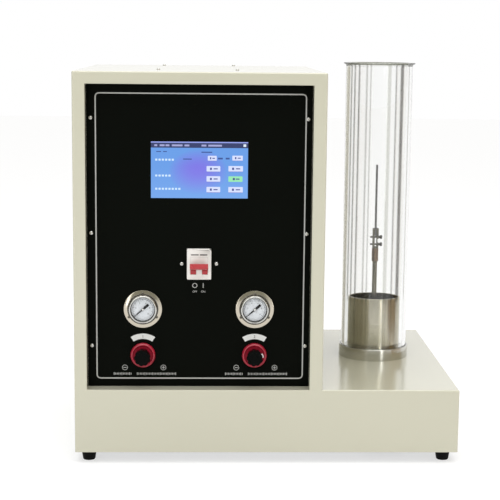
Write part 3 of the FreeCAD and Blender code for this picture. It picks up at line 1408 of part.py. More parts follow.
def make_power_supply():
    """The power supply on the base plate: a box with its terminal strip in a step at the left."""
    long = size["supply_length"]
    wide = size["supply_width"]
    tall = size["supply_height"]
    step = long * 0.12
    case = without(block(0, 0, 0, long, wide, tall), [block(-1, -1, tall * 0.35, step + 1, wide + 2, tall)])
    strip = block(step * 0.2, wide * 0.08, tall * 0.35, step * 0.7, wide * 0.84, tall * 0.3)
    whole = joined([case, strip])
    front = REAR - size["supply_back"] - size["supply_width"]
    finish(whole, "power_supply", size["supply_left"], front, size["base_sheet"])


def make_power_inlet():
    """The power inlet in the rear panel: flange, hollow body and three flat pins."""
    wide = size["inlet_body_width"]
    tall = size["inlet_body_height"]
    length = size["inlet_body_depth"]
    rim = 2.5
    body = new_body("power_inlet")
    sketch = sketch_on(body, "XZ_Plane")
    rectangle(sketch, -wide / 2, -tall / 2, wide / 2, tall / 2)
    pad(body, sketch, length)
    sketch = sketch_on(body, "XZ_Plane")
    rectangle(sketch, -wide / 2 - rim, -tall / 2 - rim, wide / 2 + rim, tall / 2 + rim)
    pad(body, sketch, rim, reverse=True)
    sketch = sketch_on(body, "XZ_Plane", -rim)
    rectangle(sketch, rim - wide / 2, rim - tall / 2, wide / 2 - rim, tall / 2 - rim)
    pocket(body, sketch, length, reverse=True)
    sketch = sketch_on(body, "XZ_Plane", length - rim)
    apart = size["inlet_pin_spacing"]
    rise = size["inlet_pin_rise"]
    for x, z in ((-apart, -rise), (apart, -rise), (apart * 0, rise)):
        rectangle(sketch, x - 1, z - 2, x + 1, z + 2)
    pad(body, sketch, length - rim * 3, reverse=True)
    finish(body, "power_inlet", size["power_inlet_x"], REAR, size["power_inlet_z"])


def make_fan():
    """The cooling fan: a square frame with a cross that carries the shaft, and the rotor."""
    side = size["fan_size"]
    deep_frame = size["fan_depth"]
    opening = size["fan_bore"]
    hub = size["fan_hub"]
    web = deep_frame * 0.16
    frame = new_body("fan_frame")
    sketch = sketch_on(frame, "XY_Plane")
    rectangle(sketch, -side / 2, -side / 2, side / 2, side / 2)
    plate = pad(frame, sketch, deep_frame)
    round_edges(frame, plate, 3, lambda edge: spans(edge, 2) > 1)
    sketch = sketch_on(frame, "XY_Plane")
    circle(sketch, 0, 0, opening)
    half = size["fan_screw_spacing"] / 2
    for x in (-half, half):
        for y in (-half, half):
            circle(sketch, x, y, size["screw_hole"])
    pocket(frame, sketch, deep_frame, reverse=True)
    for wide, tall in ((opening + 1, web / 2), (web / 2, opening + 1)):
        sketch = sketch_on(frame, "XY_Plane")
        rectangle(sketch, -wide, -tall, wide, tall)
        pad(frame, sketch, web)
    sketch = sketch_on(frame, "XY_Plane")
    circle(sketch, 0, 0, hub)
    pad(frame, sketch, web)
    sketch = sketch_on(frame, "XY_Plane")
    circle(sketch, 0, 0, size["fan_shaft"] + size["bearing_gap"])
    pocket(frame, sketch, web, reverse=True)
    front = REAR - SHEET - deep_frame
    finish(frame, "fan_frame", size["fan_x"], front, size["fan_z"], FACING_REAR)

    rotor = new_body("fan_rotor")
    shaft = size["fan_shaft"]
    low = web + size["run_gap"]
    top = deep_frame - 2
    revolve(rotor, [(0, 0.5), (shaft, 0.5), (shaft, low), (hub - 1, low), (hub - 1, top), (0, top)])
    middle = (low + top) / 2
    rise = deep_frame * 0.26
    thick = size["blade_thickness"] / 2
    half = size["blade_width"] / 2
    sketch = sketch_on(rotor, "YZ_Plane", hub - 2)
    outline(sketch, [
        (-half, middle - rise - thick), (half, middle + rise - thick), (half, middle + rise + thick),
        (-half, middle - rise + thick),
    ])
    blade = pad(rotor, sketch, opening - hub - 1)
    repeat_round(rotor, blade, 7)
    finish(rotor, "fan_rotor", size["fan_x"], front, size["fan_z"], FACING_REAR)


def build():
    """Make every sub-part."""
    make_cabinet_shell()
    make_base_plate()
    make_rear_panel()
    make_feet()
    make_foot_screws()
    make_cabinet_screws()
    make_front_panel()
    make_panel_screws()
    make_display()
    make_breaker()
    for gas, x in GAS_SIDES:
        make_gauge(gas, x)
        make_regulator(gas, x)
    make_gauge_screws()
    make_gauge_pipes()
    make_gas_inlets()
    make_gas_lines()
    make_flow_controllers()
    make_mixing_manifold()
    make_column_feed()
    make_column_base()
    make_mixing_cup()
    make_glass_tube()
    make_specimen_holder()
    make_control_tray()
    make_power_supply()
    make_power_inlet()
    make_fan()


def check_document():
    """Stop if any object failed, or if a cut took nothing away or a pad added nothing."""
    for item in doc.Objects:
        if "Invalid" in item.State or "Error" in item.State:
            raise RuntimeError(f"{item.Label} is in state {item.State}")
        if item.TypeId not in ("PartDesign::Pocket", "PartDesign::Pad") or item.BaseFeature is None:
            continue
        change = item.Shape.Volume - item.BaseFeature.Shape.Volume
        cuts = item.TypeId == "PartDesign::Pocket"
        if (cuts and change > -1e-3) or (not cuts and change < 1e-3):
            raise RuntimeError(f"{item.Name} of {item.getParentGeoFeatureGroup().Label} changes nothing")


def export():
    """Write one file for each sub-part."""
    os.makedirs("parts", exist_ok=True)
    for piece in pieces:
        shape = piece.Shape
        if shape.isNull() or not shape.isValid() or shape.Volume <= 0:
            raise RuntimeError(f"{piece.Label} has no sound shape")
        shape.exportStep(f"parts/{piece.Label}.step")


build()
doc.recompute()
check_document()
export()
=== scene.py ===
"""Finishes and fine pieces of the oxygen index tester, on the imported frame.

Sizes and places of pieces are millimetres in the cabinet's own corner frame, x from its left side, y
back from the front sheet, z up from its lower edge; spot() turns them into metres in the row frame.
Bevels, user settings, materials and the stage are in metres.
"""
import json
import math
import bmesh
import bpy
import numpy as np
from mathutils import Matrix, Vector

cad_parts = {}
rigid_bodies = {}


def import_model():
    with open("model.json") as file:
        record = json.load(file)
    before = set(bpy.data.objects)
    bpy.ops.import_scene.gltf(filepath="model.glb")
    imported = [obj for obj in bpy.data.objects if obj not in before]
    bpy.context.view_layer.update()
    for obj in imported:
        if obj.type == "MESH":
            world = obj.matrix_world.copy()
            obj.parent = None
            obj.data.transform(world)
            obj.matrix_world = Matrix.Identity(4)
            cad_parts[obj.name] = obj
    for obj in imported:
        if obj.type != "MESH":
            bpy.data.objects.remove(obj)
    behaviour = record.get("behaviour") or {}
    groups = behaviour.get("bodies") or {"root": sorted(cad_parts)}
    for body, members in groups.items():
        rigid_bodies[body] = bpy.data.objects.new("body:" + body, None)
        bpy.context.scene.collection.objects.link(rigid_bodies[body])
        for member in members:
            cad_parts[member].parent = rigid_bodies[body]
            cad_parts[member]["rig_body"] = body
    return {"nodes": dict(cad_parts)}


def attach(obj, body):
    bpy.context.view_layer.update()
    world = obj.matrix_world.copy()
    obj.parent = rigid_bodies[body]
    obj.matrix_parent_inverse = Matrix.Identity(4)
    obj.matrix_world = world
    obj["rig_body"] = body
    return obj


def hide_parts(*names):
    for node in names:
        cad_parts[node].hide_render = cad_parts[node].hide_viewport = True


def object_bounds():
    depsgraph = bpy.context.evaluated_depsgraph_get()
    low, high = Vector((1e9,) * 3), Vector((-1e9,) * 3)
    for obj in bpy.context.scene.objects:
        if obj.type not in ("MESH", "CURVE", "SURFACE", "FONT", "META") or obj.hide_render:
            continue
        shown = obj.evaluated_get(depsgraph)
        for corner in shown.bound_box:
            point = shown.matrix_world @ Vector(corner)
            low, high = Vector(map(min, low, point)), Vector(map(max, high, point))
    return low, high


bl_info = {
    "name": "Oxygen Index Tester",
    "version": (1, 0, 0),
    "blender": (4, 5, 0),
    "location": "View3D > Sidebar > Tester",
    "description": "Finishes, printed marks and fine pieces of an oxygen index tester",
    "category": "Object",
}

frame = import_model()
CAD_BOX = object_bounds()

# Places in the cabinet's corner frame, millimetres
ROW_ORIGIN = np.array([300.0, 235.0, -18.0])
REAR = 450.0
ROOF = 590.0
FEET = [(x, y, -18.0) for x in (20.0, 580.0) for y in (26.0, 424.0)]
PANEL_FACE = 24.0
PANEL_MIDDLE = 192.0
PANEL_SCREWS = [(x, PANEL_FACE, z) for x in (26.0, 358.0) for z in (165.0, 342.0, 519.0)]
BORDER_MIDDLE = np.array([194.0, 334.75])
BORDER_HALF = np.array([161.5, 222.75])
SCREEN = (PANEL_MIDDLE, 440.0)
SCREEN_SIZE = (148.5, 86.5)
SCREEN_FACE = PANEL_FACE + 0.4
BREAKER = (PANEL_MIDDLE, 294.6)
BREAKER_FACE = PANEL_FACE - 6.0
BREAKER_SCREWS = [(BREAKER[0] + side * 26.8, PANEL_FACE, BREAKER[1]) for side in (-1, 1)]
GAUGES = {"oxygen": (105.0, 223.0), "nitrogen": (279.0, 223.0)}
DIAL_FACE = PANEL_FACE - 2.3
REGULATORS = {"oxygen": (105.0, 150.0), "nitrogen": (279.0, 150.0)}
ROOF_SCREWS = [(x, y, ROOF) for x in (126.0, 251.0) for y in (120.0, 430.0)]
REAR_SCREWS = [
    (7.5, REAR, 50), (7.5, REAR, 295), (7.5, REAR, 570.5), (192.5, REAR, 582.5), (377.5, REAR, 570.5),
    (377.5, REAR, 295), (492.5, REAR, 92.5), (592.5, REAR, 50),
]
FAN_SCREWS = [(285 + side * 35.75, REAR, 400 + level * 35.75) for side in (-1, 1) for level in (-1, 1)]
COLUMN = (493.0, 250.0, 0.0)
BASE_TOP = 120.0
CUP_FLOOR = 125.0
BEAD_TOP = 175.0
SOCKET_TOP = 287.5

# Degrees from three o'clock against the clock: the dial's zero, and its whole scale
GAUGE_ZERO = 221.0
GAUGE_SWEEP = 262.0

# The way that a print on the front looks, and the corners of a plate about its middle
FRONT = (0, -1, 0)
CORNERS = np.array([[-1, -1], [1, -1], [1, 1], [-1, 1]], float)

# The studio round the object: angle from the front, growing to the right, and colour
ROOM = (
    (-128.0, (0.95, 0.95, 0.95)), (-118.0, (0.132, 0.138, 0.086)), (-66.0, (0.132, 0.138, 0.086)),
    (-56.0, (0.36, 0.36, 0.30)), (13.0, (0.38, 0.38, 0.32)), (19.0, (0.95, 0.94, 0.88)),
    (29.0, (0.95, 0.94, 0.88)), (35.0, (0.42, 0.39, 0.31)), (50.0, (0.36, 0.29, 0.20)),
    (60.0, (0.30, 0.20, 0.11)), (104.0, (0.24, 0.16, 0.08)), (114.0, (0.95, 0.95, 0.95)),
)

# Painted reflection streaks along the chimney's outside, standing in for the reflections seen in the glass:
# angle from its front, half width, light that comes through
PAINTED_STREAKS = (
    (-78.0, 2.6, 0.80), (-61.0, 2.7, 0.24), (-52.2, 2.3, 0.28), (-42.6, 2.4, 0.18), (-28.0, 1.8, 0.42),
    (-21.0, 1.6, 0.40), (10.5, 4.4, 0.70), (23.7, 1.9, 0.30), (35.9, 5.0, 0.08), (55.5, 2.2, 0.46),
)


def spot(points):
    """Corner-frame millimetres to row-frame metres."""
    return (np.asarray(points, float) - ROW_ORIGIN) / 1000.0


# Sizes and colours that a user may change


class TESTER_PG_finishes(bpy.types.PropertyGroup):
    """Colours of the instrument's finishes."""

    paint: bpy.props.FloatVectorProperty(
        name="Cabinet paint", description="Colour of the cabinet's powder coat",
        subtype="COLOR", size=3, min=0, max=1, default=(0.565, 0.552, 0.440))
    panel: bpy.props.FloatVectorProperty(
        name="Panel", description="Colour of the recessed control panel",
        subtype="COLOR", size=3, min=0, max=1, default=(0.0017, 0.0023, 0.0013))
    print_grey: bpy.props.FloatVectorProperty(
        name="Print", description="Colour of the printed lines and marks",
        subtype="COLOR", size=3, min=0, max=1, default=(0.46, 0.46, 0.45))
    ring: bpy.props.FloatVectorProperty(
        name="Regulator ring", description="Colour of the regulators' panel rings",
        subtype="COLOR", size=3, min=0, max=1, default=(0.36, 0.008, 0.028))
    toggle: bpy.props.FloatVectorProperty(
        name="Breaker toggle", description="Colour of the breaker's linked levers",
        subtype="COLOR", size=3, min=0, max=1, default=(0.42, 0.008, 0.016))
    bezel: bpy.props.FloatVectorProperty(
        name="Gauge case", description="Colour of the gauges' polished cases",
        subtype="COLOR", size=3, min=0, max=1, default=(0.53, 0.485, 0.40))
    steel: bpy.props.FloatVectorProperty(
        name="Turned steel", description="Colour of the column's steel pieces",
        subtype="COLOR", size=3, min=0, max=1, default=(0.49, 0.462, 0.368))


class TESTER_PG_details(bpy.types.PropertyGroup):
    """Sizes of the printed and fine pieces."""

    border_width: bpy.props.FloatProperty(
        name="Border width", description="Width of the line round the control panel",
        unit="LENGTH", min=0.0002, max=0.01, default=0.0019)
    border_corner: bpy.props.FloatProperty(
        name="Border corner", description="Corner radius of the line round the control panel",
        unit="LENGTH", min=0.0, max=0.05, default=0.006)
    dial_marks: bpy.props.IntProperty(
        name="Dial marks", description="Number of long marks on a gauge's dial",
        min=2, max=30, default=11)
    bead_radius: bpy.props.FloatProperty(
        name="Bead radius", description="Radius of a glass bead in the cup",
        unit="LENGTH", min=0.0005, max=0.004, default=0.0017)
    mesh_pitch: bpy.props.FloatProperty(
        name="Screen pitch", description="Distance between the wires of the cup's screen",
        unit="LENGTH", min=0.001, max=0.01, default=0.0024)
    knob_flutes: bpy.props.IntProperty(
        name="Knob flutes", description="Number of hollows round a regulator's knob",
        min=3, max=30, default=9)


# Surfaces


def quads(rows, columns, wrap_rows=False, wrap_columns=False):
    """Four corner numbers of every cell of a grid, row by row, joined round where asked."""
    row = np.arange(rows if wrap_rows else rows - 1)
    column = np.arange(columns if wrap_columns else columns - 1)
    r, c = np.meshgrid(row, column, indexing="ij")
    r_next = (r + 1) % rows
    c_next = (c + 1) % columns
    corners = [r * columns + c, r * columns + c_next, r_next * columns + c_next, r_next * columns + c]
    return np.stack(corners, axis=-1).reshape(-1, 4)


def grid_uv(rows, columns, wrap_rows=False, wrap_columns=False):
    """Map places of the corners of the same cells: u along the columns and v along the rows, 0 to 1."""
    row = np.arange(rows if wrap_rows else rows - 1)
    column = np.arange(columns if wrap_columns else columns - 1)
    r, c = np.meshgrid(row / len(row), column / len(column), indexing="ij")
    u = np.stack([c, c + 1 / len(column), c + 1 / len(column), c], axis=-1)
    v = np.stack([r, r, r + 1 / len(row), r + 1 / len(row)], axis=-1)
    return np.stack([u, v], axis=-1).reshape(-1, 2)


def softened(corners, radius, steps=4, closed=True):
    """An outline whose corners are eased: each corner P becomes the curve
    (1-t)^2 A + 2t(1-t) P + t^2 B between points A and B on its two sides, radius away from it."""
    corners = np.asarray(corners, float)
    before = np.roll(corners, 1, axis=0) - corners
    after = np.roll(corners, -1, axis=0) - corners
    reach = np.broadcast_to(np.asarray(radius, float), len(corners)).copy()
    if not closed:
        reach[[0, -1]] = 0
    size_before = np.linalg.norm(before, axis=1)
    size_after = np.linalg.norm(after, axis=1)
    cut = np.minimum(reach, 0.45 * np.minimum(size_before, size_after))[:, None]
    start = corners + before / size_before[:, None] * cut
    end = corners + after / size_after[:, None] * cut
    t = np.linspace(0, 1, steps)[None, :, None]
    curve = (1 - t) ** 2 * start[:, None] + 2 * t * (1 - t) * corners[:, None] + t ** 2 * end[:, None]
    points = curve.reshape(-1, 2)
    keep = np.ones(len(points), bool)
    keep[1:] = np.linalg.norm(np.diff(points, axis=0), axis=1) > 1e-6
    return points[keep]


def spun(profile, turns):
    """A half outline (radius r, height h) carried round an axis: (r cos a, r sin a, h)."""
    angle = np.linspace(0, 2 * np.pi, turns, endpoint=False)
    radius = profile[:, :1]
    height = np.broadcast_to(profile[:, 1:], (len(profile), turns))
    return np.stack([radius * np.cos(angle), radius * np.sin(angle), height], axis=-1)


# How a point's own x, y and z turn when its z looks each way
TURNS = {
    "up": ((1, 0, 0), (0, 1, 0), (0, 0, 1)),
    "down": ((1, 0, 0), (0, -1, 0), (0, 0, -1)),
    "front": ((1, 0, 0), (0, 0, -1), (0, 1, 0)),
    "rear": ((1, 0, 0), (0, 0, 1), (0, -1, 0)),
    "right": ((0, 0, 1), (0, 1, 0), (-1, 0, 0)),
}


def stood(points, place, facing):
    """Points turned so that their own z looks the given way, and moved to a place."""
    return points @ np.array(TURNS[facing], float).T + np.asarray(place, float)


def linked(name, data):
    """A new object in the scene."""
    made = bpy.data.objects.new(name, data)
    bpy.context.scene.collection.objects.link(made)
    return made


def new_piece(name, points, faces, material, body, uv=None, towards=None, crease=35, merge=True):
    """A mesh object in the row frame, riding on a body, from corner-frame points in millimetres. Its
    faces look towards a direction, or outwards where none is given."""
    mesh = bpy.data.meshes.new(name)
    mesh.from_pydata(spot(points.reshape(-1, 3)).tolist(), [], [list(face) for face in faces])
    if uv is not None:
        layer = mesh.uv_layers.new(name="Surface")
        layer.data.foreach_set("uv", np.asarray(uv, np.float32).ravel())
    work = bmesh.new()
    work.from_mesh(mesh)
    if merge:
        bmesh.ops.remove_doubles(work, verts=work.verts, dist=1e-7)
    if towards is None:
        bmesh.ops.recalc_face_normals(work, faces=work.faces)
    else:
        away = [face for face in work.faces if face.normal.dot(Vector(towards)) < 0]
        bmesh.ops.reverse_faces(work, faces=away)
    work.to_mesh(mesh)
    work.free()
    mesh.shade_smooth()
    mesh.set_sharp_from_angle(angle=math.radians(crease))
    mesh.materials.append(material)
    piece = linked(name, mesh)
    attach(piece, body)
    return piece


def spun_cells(profile, turns, ring=True):
    """The faces of a spun half outline and their map places; ring says that it is closed on itself."""
    return quads(len(profile), turns, ring, True), grid_uv(len(profile), turns, ring, True)


def turned_piece(name, profile, place, facing, material, body, turns=96, ring=True):
    """A piece of revolution; ring says that its half outline is closed on itself off the axis."""
    surface = stood(spun(profile, turns), place, facing)
    faces, uv = spun_cells(profile, turns, ring)
    return new_piece(name, surface, faces, material, body, uv=uv)


def repeated(points, faces, places):
    """Copies of one surface at several places, as one set of points and faces."""
    flat = points.reshape(-1, 3)
    moved = flat[None] + np.asarray(places, float)[:, None]
    numbers = faces[None] + (np.arange(len(places)) * len(flat))[:, None, None]
    return moved.reshape(-1, 3), numbers.reshape(-1, faces.shape[1])


def flat_plates(centres, sizes, corner, y, steps=5):
    """Upright plates with eased corners on a plane of constant y: one face for each."""
    centres = np.asarray(centres, float)
    half = np.asarray(sizes, float) / 2
    outlines = [softened(CORNERS * size, corner, steps) + centre for centre, size in zip(centres, half)]
    count = [len(outline) for outline in outlines]
    starts = np.concatenate([[0], np.cumsum(count)[:-1]])
    flat = np.concatenate(outlines)
    points = np.stack([flat[:, 0], np.full(len(flat), y), flat[:, 1]], axis=-1)
    faces = [np.arange(start, start + number) for start, number in zip(starts, count)]
    return points, faces


def arc_band(centre, inner, outer, start, end, y, steps=40):
    """A band between two radii from one angle to another: centre + r (cos a, sin a), r from inner to
    outer."""
    angle = np.radians(np.linspace(start, end, steps))
    radius = np.array([inner, outer])[:, None]
    x = centre[0] + radius * np.cos(angle)
    z = centre[1] + radius * np.sin(angle)
    points = np.stack([x, np.full_like(x, y), z], axis=-1)
    return points, quads(2, steps)


def arc_block(profile, start, end, steps=14):
    """A closed outline (radius r, height h) carried part of the way round an axis, with flat ends:
    (r cos a, r sin a, h), a from start to end."""
    angle = np.radians(np.linspace(start, end, steps))
    radius = profile[:, :1]
    height = np.broadcast_to(profile[:, 1:], (len(profile), steps))
    points = np.stack([radius * np.cos(angle), radius * np.sin(angle), height], axis=-1)
    ends = np.arange(len(profile)) * steps
    faces = quads(len(profile), steps, wrap_rows=True).tolist()
    return points, faces + [ends.tolist(), (ends + steps - 1).tolist()]


def gathered(surfaces):
    """Several (points, faces) pairs as one."""
    points = []
    faces = []
    start = 0
    for some_points, some_faces in surfaces:
        flat = some_points.reshape(-1, 3)
        points.append(flat)
        faces.extend((np.asarray(face) + start).tolist() for face in some_faces)
        start += len(flat)
    return np.concatenate(points), faces


def front_print(name, surfaces, ink, merge=True):
    """Flat shapes as one print on the cabinet that looks to the front."""
    points, faces = gathered(surfaces)
    return new_piece(name, points, faces, ink, "cabinet", towards=FRONT, merge=merge)


def lettering(words, y):
    """Numbers and marks as flat faces: (text, x, z, height) each, centred on its place."""
    surfaces = []
    for text, x, z, height in words:
        curve = bpy.data.curves.new("mark", "FONT")
        curve.body = text
        curve.size = 1.0
        curve.align_x = "CENTER"
        curve.align_y = "CENTER"
        holder = linked("mark", curve)
        flat = bpy.data.meshes.new_from_object(holder)
        place = np.zeros(len(flat.vertices) * 3)
        flat.vertices.foreach_get("co", place)
        place = place.reshape(-1, 3)
        size = height / np.ptp(place[:, 1])
        middle = (place.max(axis=0) + place.min(axis=0)) / 2
        place = (place - middle) * size
        points = np.stack([place[:, 0] + x, np.full(len(place), y), place[:, 1] + z], axis=-1)
        surfaces.append((points, [list(face.vertices) for face in flat.polygons]))
        bpy.data.objects.remove(holder)
        bpy.data.curves.remove(curve)
        bpy.data.meshes.remove(flat)
    return gathered(surfaces)


def eased_copy(node, name, material, width, segments=2):
    """A copy of a node whose flat faces are whole again and whose edges are eased by a bevel."""
    source = frame["nodes"][node]
    edge_angle = math.radians(40)
    mesh = source.data.copy()
    mesh.name = name
    work = bmesh.new()
    work.from_mesh(mesh)
    bmesh.ops.remove_doubles(work, verts=work.verts, dist=1e-6)
    bmesh.ops.dissolve_limit(work, angle_limit=math.radians(1), verts=work.verts, edges=work.edges)
    work.to_mesh(mesh)
    work.free()
    mesh.materials.clear()
    mesh.materials.append(material)
    mesh.shade_smooth()
    mesh.set_sharp_from_angle(angle=edge_angle)
    piece = linked(name, mesh)
    bevel = piece.modifiers.new("Eased edges", "BEVEL")
    bevel.width = width
    bevel.segments = segments
    bevel.limit_method = "ANGLE"
    bevel.angle_limit = edge_angle
    bevel.harden_normals = True
    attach(piece, source["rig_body"])
    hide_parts(node)
    return piece


# Materials


class Wire:
    """One value in a material; arithmetic on it adds Math nodes."""

    def __init__(self, recipe, socket):
        self.recipe = recipe
        self.socket = socket

    def worked(self, operation, first, second=0.0):
        return self.recipe.node("ShaderNodeMath", {"operation": operation}, {0: first, 1: second})

    def __add__(self, other):
        return self.worked("ADD", self, other)

    def __radd__(self, other):
        return self.worked("ADD", other, self)

    def __sub__(self, other):
        return self.worked("SUBTRACT", self, other)

    def __rsub__(self, other):
        return self.worked("SUBTRACT", other, self)

    def __mul__(self, other):
        return self.worked("MULTIPLY", self, other)

    def __rmul__(self, other):
        return self.worked("MULTIPLY", other, self)

    def __truediv__(self, other):
        return self.worked("DIVIDE", self, other)

    def __pow__(self, other):
        return self.worked("POWER", self, other)

    def sine(self):
        return self.worked("SINE", self)

    def above(self, limit):
        return self.worked("GREATER_THAN", self, limit)

    def larger(self, other):
        return self.worked("MAXIMUM", self, other)


class Recipe:
    """A material under construction."""

    def __init__(self, name=None, tree=None):
        if tree is None:
            self.material = bpy.data.materials.new(name)
            self.material.use_nodes = True
            tree = self.material.node_tree
        self.tree = tree
        self.tree.nodes.clear()

    def node(self, kind, settings=None, inputs=None, output=0):
        """Make a node: its settings first, then the values or links of its sockets."""
        made = self.tree.nodes.new(kind)
        for name, value in (settings or {}).items():
            if name == "stops":
                elements = made.color_ramp.elements
                for index, (place, colour) in enumerate(value):
                    stop = elements[index] if index < 2 else elements.new(place)
                    stop.position = place
                    stop.color = (*colour, 1.0)
            else:
                setattr(made, name, value)
        for key, value in (inputs or {}).items():
            if isinstance(value, Wire):
                self.tree.links.new(value.socket, made.inputs[key])
            else:
                made.inputs[key].default_value = value
        return Wire(self, made.outputs[output])

    def coordinates(self, source="Object", scale=(1, 1, 1), centre=(0, 0, 0)):
        """The surface's own place, moved to a centre and scaled."""
        raw = self.node("ShaderNodeTexCoord", output=source)
        moved = self.node("ShaderNodeVectorMath", {"operation": "SUBTRACT"}, {0: raw, 1: centre})
        return self.node("ShaderNodeVectorMath", {"operation": "MULTIPLY"}, {0: moved, 1: scale})

    def axes(self, vector):
        """The three numbers of a vector."""
        split = self.tree.nodes.new("ShaderNodeSeparateXYZ")
        self.tree.links.new(vector.socket, split.inputs[0])
        return [Wire(self, output) for output in split.outputs]

    def joined(self, x, y, z):
        """A vector of three numbers."""
        return self.node("ShaderNodeCombineXYZ", None, {0: x, 1: y, 2: z})

    def round_axis(self, centre, axis="z"):
        """Distance from an axis through a centre, height along it, and the angle round it in degrees:
        atan2(x, -y), nothing at the front of an upright axis and growing to the right; round an axis
        along y, atan2(x, z)."""
        x, y, z = self.axes(self.coordinates(centre=tuple(centre)))
        across, height = (0.0 - y, z) if axis == "z" else (z, 0.0 - y)
        distance = (x * x + across * across) ** 0.5
        angle = x.worked("ARCTAN2", x, across) * (180.0 / math.pi)
        return distance, height, angle

    def noise(self, vector, scale, detail=2.0, rough=0.5):
        """Cloudy values round a half."""
        return self.node("ShaderNodeTexNoise", None,
                         {"Vector": vector, "Scale": scale, "Detail": detail, "Roughness": rough})

    def eased(self, value, low, high, start, end):
        """A value led from start to end between a low and a high one, and held beyond them."""
        return self.node("ShaderNodeMapRange", {"clamp": True},
                         {0: value, 1: low, 2: high, 3: start, 4: end})

    def ray(self, question):
        """What is known of the ray that meets the surface."""
        return self.node("ShaderNodeLightPath", output=question)

    def blend(self, factor, first, second):
        """A colour between two others."""
        mix = self.tree.nodes.new("ShaderNodeMix")
        mix.data_type = "RGBA"
        for index, value in ((0, factor), (6, first), (7, second)):
            if isinstance(value, Wire):
                self.tree.links.new(value.socket, mix.inputs[index])
            elif index == 0:
                mix.inputs[index].default_value = value
            else:
                mix.inputs[index].default_value = (*value, 1.0)
        return Wire(self, mix.outputs[2])

    def toned(self, factor, colour, darkest, lightest):
        """A colour that goes from a darker to a lighter shade of itself."""
        return self.blend(factor, shade(colour, darkest), shade(colour, lightest))

    def close(self, shader, kind="ShaderNodeOutputMaterial"):
        """Lead a shader to the output."""
        output = self.tree.nodes.new(kind)
        self.tree.links.new(shader.socket, output.inputs["Surface"])

    def finish(self, colour, roughness, bump=None, strength=0.2, distance=0.0002, **constants):
        """Close the material with a Principled shader; further sockets get plain numbers."""
        shader = self.tree.nodes.new("ShaderNodeBsdfPrincipled")
        values = {"Base Color": colour, "Roughness": roughness}
        if bump is not None:
            values["Normal"] = self.node("ShaderNodeBump", None,
                                         {"Height": bump, "Strength": strength, "Distance": distance})
        values.update({key.replace("_", " "): value for key, value in constants.items()})
        for key, value in values.items():
            socket = shader.inputs[key]
            if isinstance(value, Wire):
                self.tree.links.new(value.socket, socket)
            elif isinstance(value, tuple) and len(value) == 3:
                socket.default_value = (*value, 1.0)
            else:
                socket.default_value = value
        self.close(Wire(self, shader.outputs[0]))
        return self.material


def shade(colour, factor):
    """A colour made lighter or darker."""
    return tuple(min(1.0, channel * factor) for channel in colour)


def powder_coat(name, colour, roughness=0.21, peel=0.008):
    """Powder coat: faint clouding, the fine swell of baked powder and rare darker specks."""
    recipe = Recipe(name)
    place = recipe.coordinates()
    cloud = recipe.noise(place, 6.0, 3.0)
    swell = recipe.noise(place, 700.0, 2.0)
    speck = recipe.noise(place, 1500.0, 1.0).above(0.78)
    tone = recipe.toned(cloud, colour, 0.985, 1.015)
    tone = recipe.blend(speck * 0.12, tone, shade(colour, 0.6))
    return recipe.finish(tone, roughness - 0.04 + cloud * 0.08, swell, peel, 0.0004,
                         Coat_Weight=0.85, Coat_Roughness=0.16)


def matt_panel(name, colour):
    """Sprayed black panel: fine matt grain with faint clouding."""
    recipe = Recipe(name)
    place = recipe.coordinates()
    grain = recipe.noise(place, 1400.0, 2.0)
    cloud = recipe.noise(place, 9.0, 2.0)
    tone = recipe.toned(cloud, colour, 0.85, 1.2)
    return recipe.finish(tone, 0.46 + cloud * 0.12, grain, 0.12, 0.0003, Specular_IOR_Level=0.035)


def moulded(name, colour, roughness=0.42, grain=500.0, depth=0.06, variation=0.06, **constants):
    """Moulded plastic or rubber: a fine spark-eroded grain and slight changes of tone."""
    recipe = Recipe(name)
    place = recipe.coordinates()
    fine = recipe.noise(place, grain, 3.0, 0.6)
    wide = recipe.noise(place, 14.0, 2.0)
    tone = recipe.toned(wide, colour, 1 - variation, 1 + variation)
    return recipe.finish(tone, roughness - 0.05 + wide * 0.1, fine, depth, 0.0003, **constants)


def lathe_steel(name, colour, roughness=0.24, lines=260.0, depth=0.12, **constants):
    """Turned metal: fine tool lines round the piece, read from the map's v, with a slow change of tone."""
    recipe = Recipe(name)
    around = recipe.coordinates("UV", (1.5, lines, 1.0))
    place = recipe.coordinates()
    line = recipe.noise(around, 1.0, 4.0, 0.7)
    slow = recipe.noise(place, 25.0, 2.0)
    tone = recipe.toned(line * 0.6 + slow * 0.4, colour, 0.88, 1.08)
    return recipe.finish(tone, roughness - 0.06 + line * 0.12, line, depth, 0.0002, Metallic=1.0,
                         **constants)


def gauge_steel(name, warm, centre, seat):
    """Polished gauge case: silvery bezel inside the seat's radius, warmer flange outside it, both turned,
    and painted darker in the groove between them and on the bezel's inner edge, painted shade for the shadow
    there."""
    silver = (0.56, 0.56, 0.54)
    dark = (0.05, 0.047, 0.04)
    inner_edge = 0.0195
    lines = 2500.0
    recipe = Recipe(name)
    distance, height, _ = recipe.round_axis(centre, "y")
    line = recipe.noise(recipe.joined(distance * lines, height * lines, 0.0), 1.0, 3.0, 0.6)
    slow = recipe.noise(recipe.coordinates(), 25.0, 2.0)
    tone = recipe.toned(line * 0.5 + slow * 0.5, warm, 0.88, 1.08)
    tone = recipe.blend(distance.above(seat), silver, tone)
    # Painted shade: the groove and the bezel's inner edge are darkened in colour, standing in for their
    # shadow
    groove = distance.above(seat - 0.0007) * (1.0 - distance.above(seat + 0.0004))
    edge = 1.0 - distance.above(inner_edge)
    tone = recipe.blend((groove + edge) * 0.8, tone, dark)
    return recipe.finish(tone, 0.08 + line * 0.08, line, 0.02, 0.0001, Metallic=1.0)


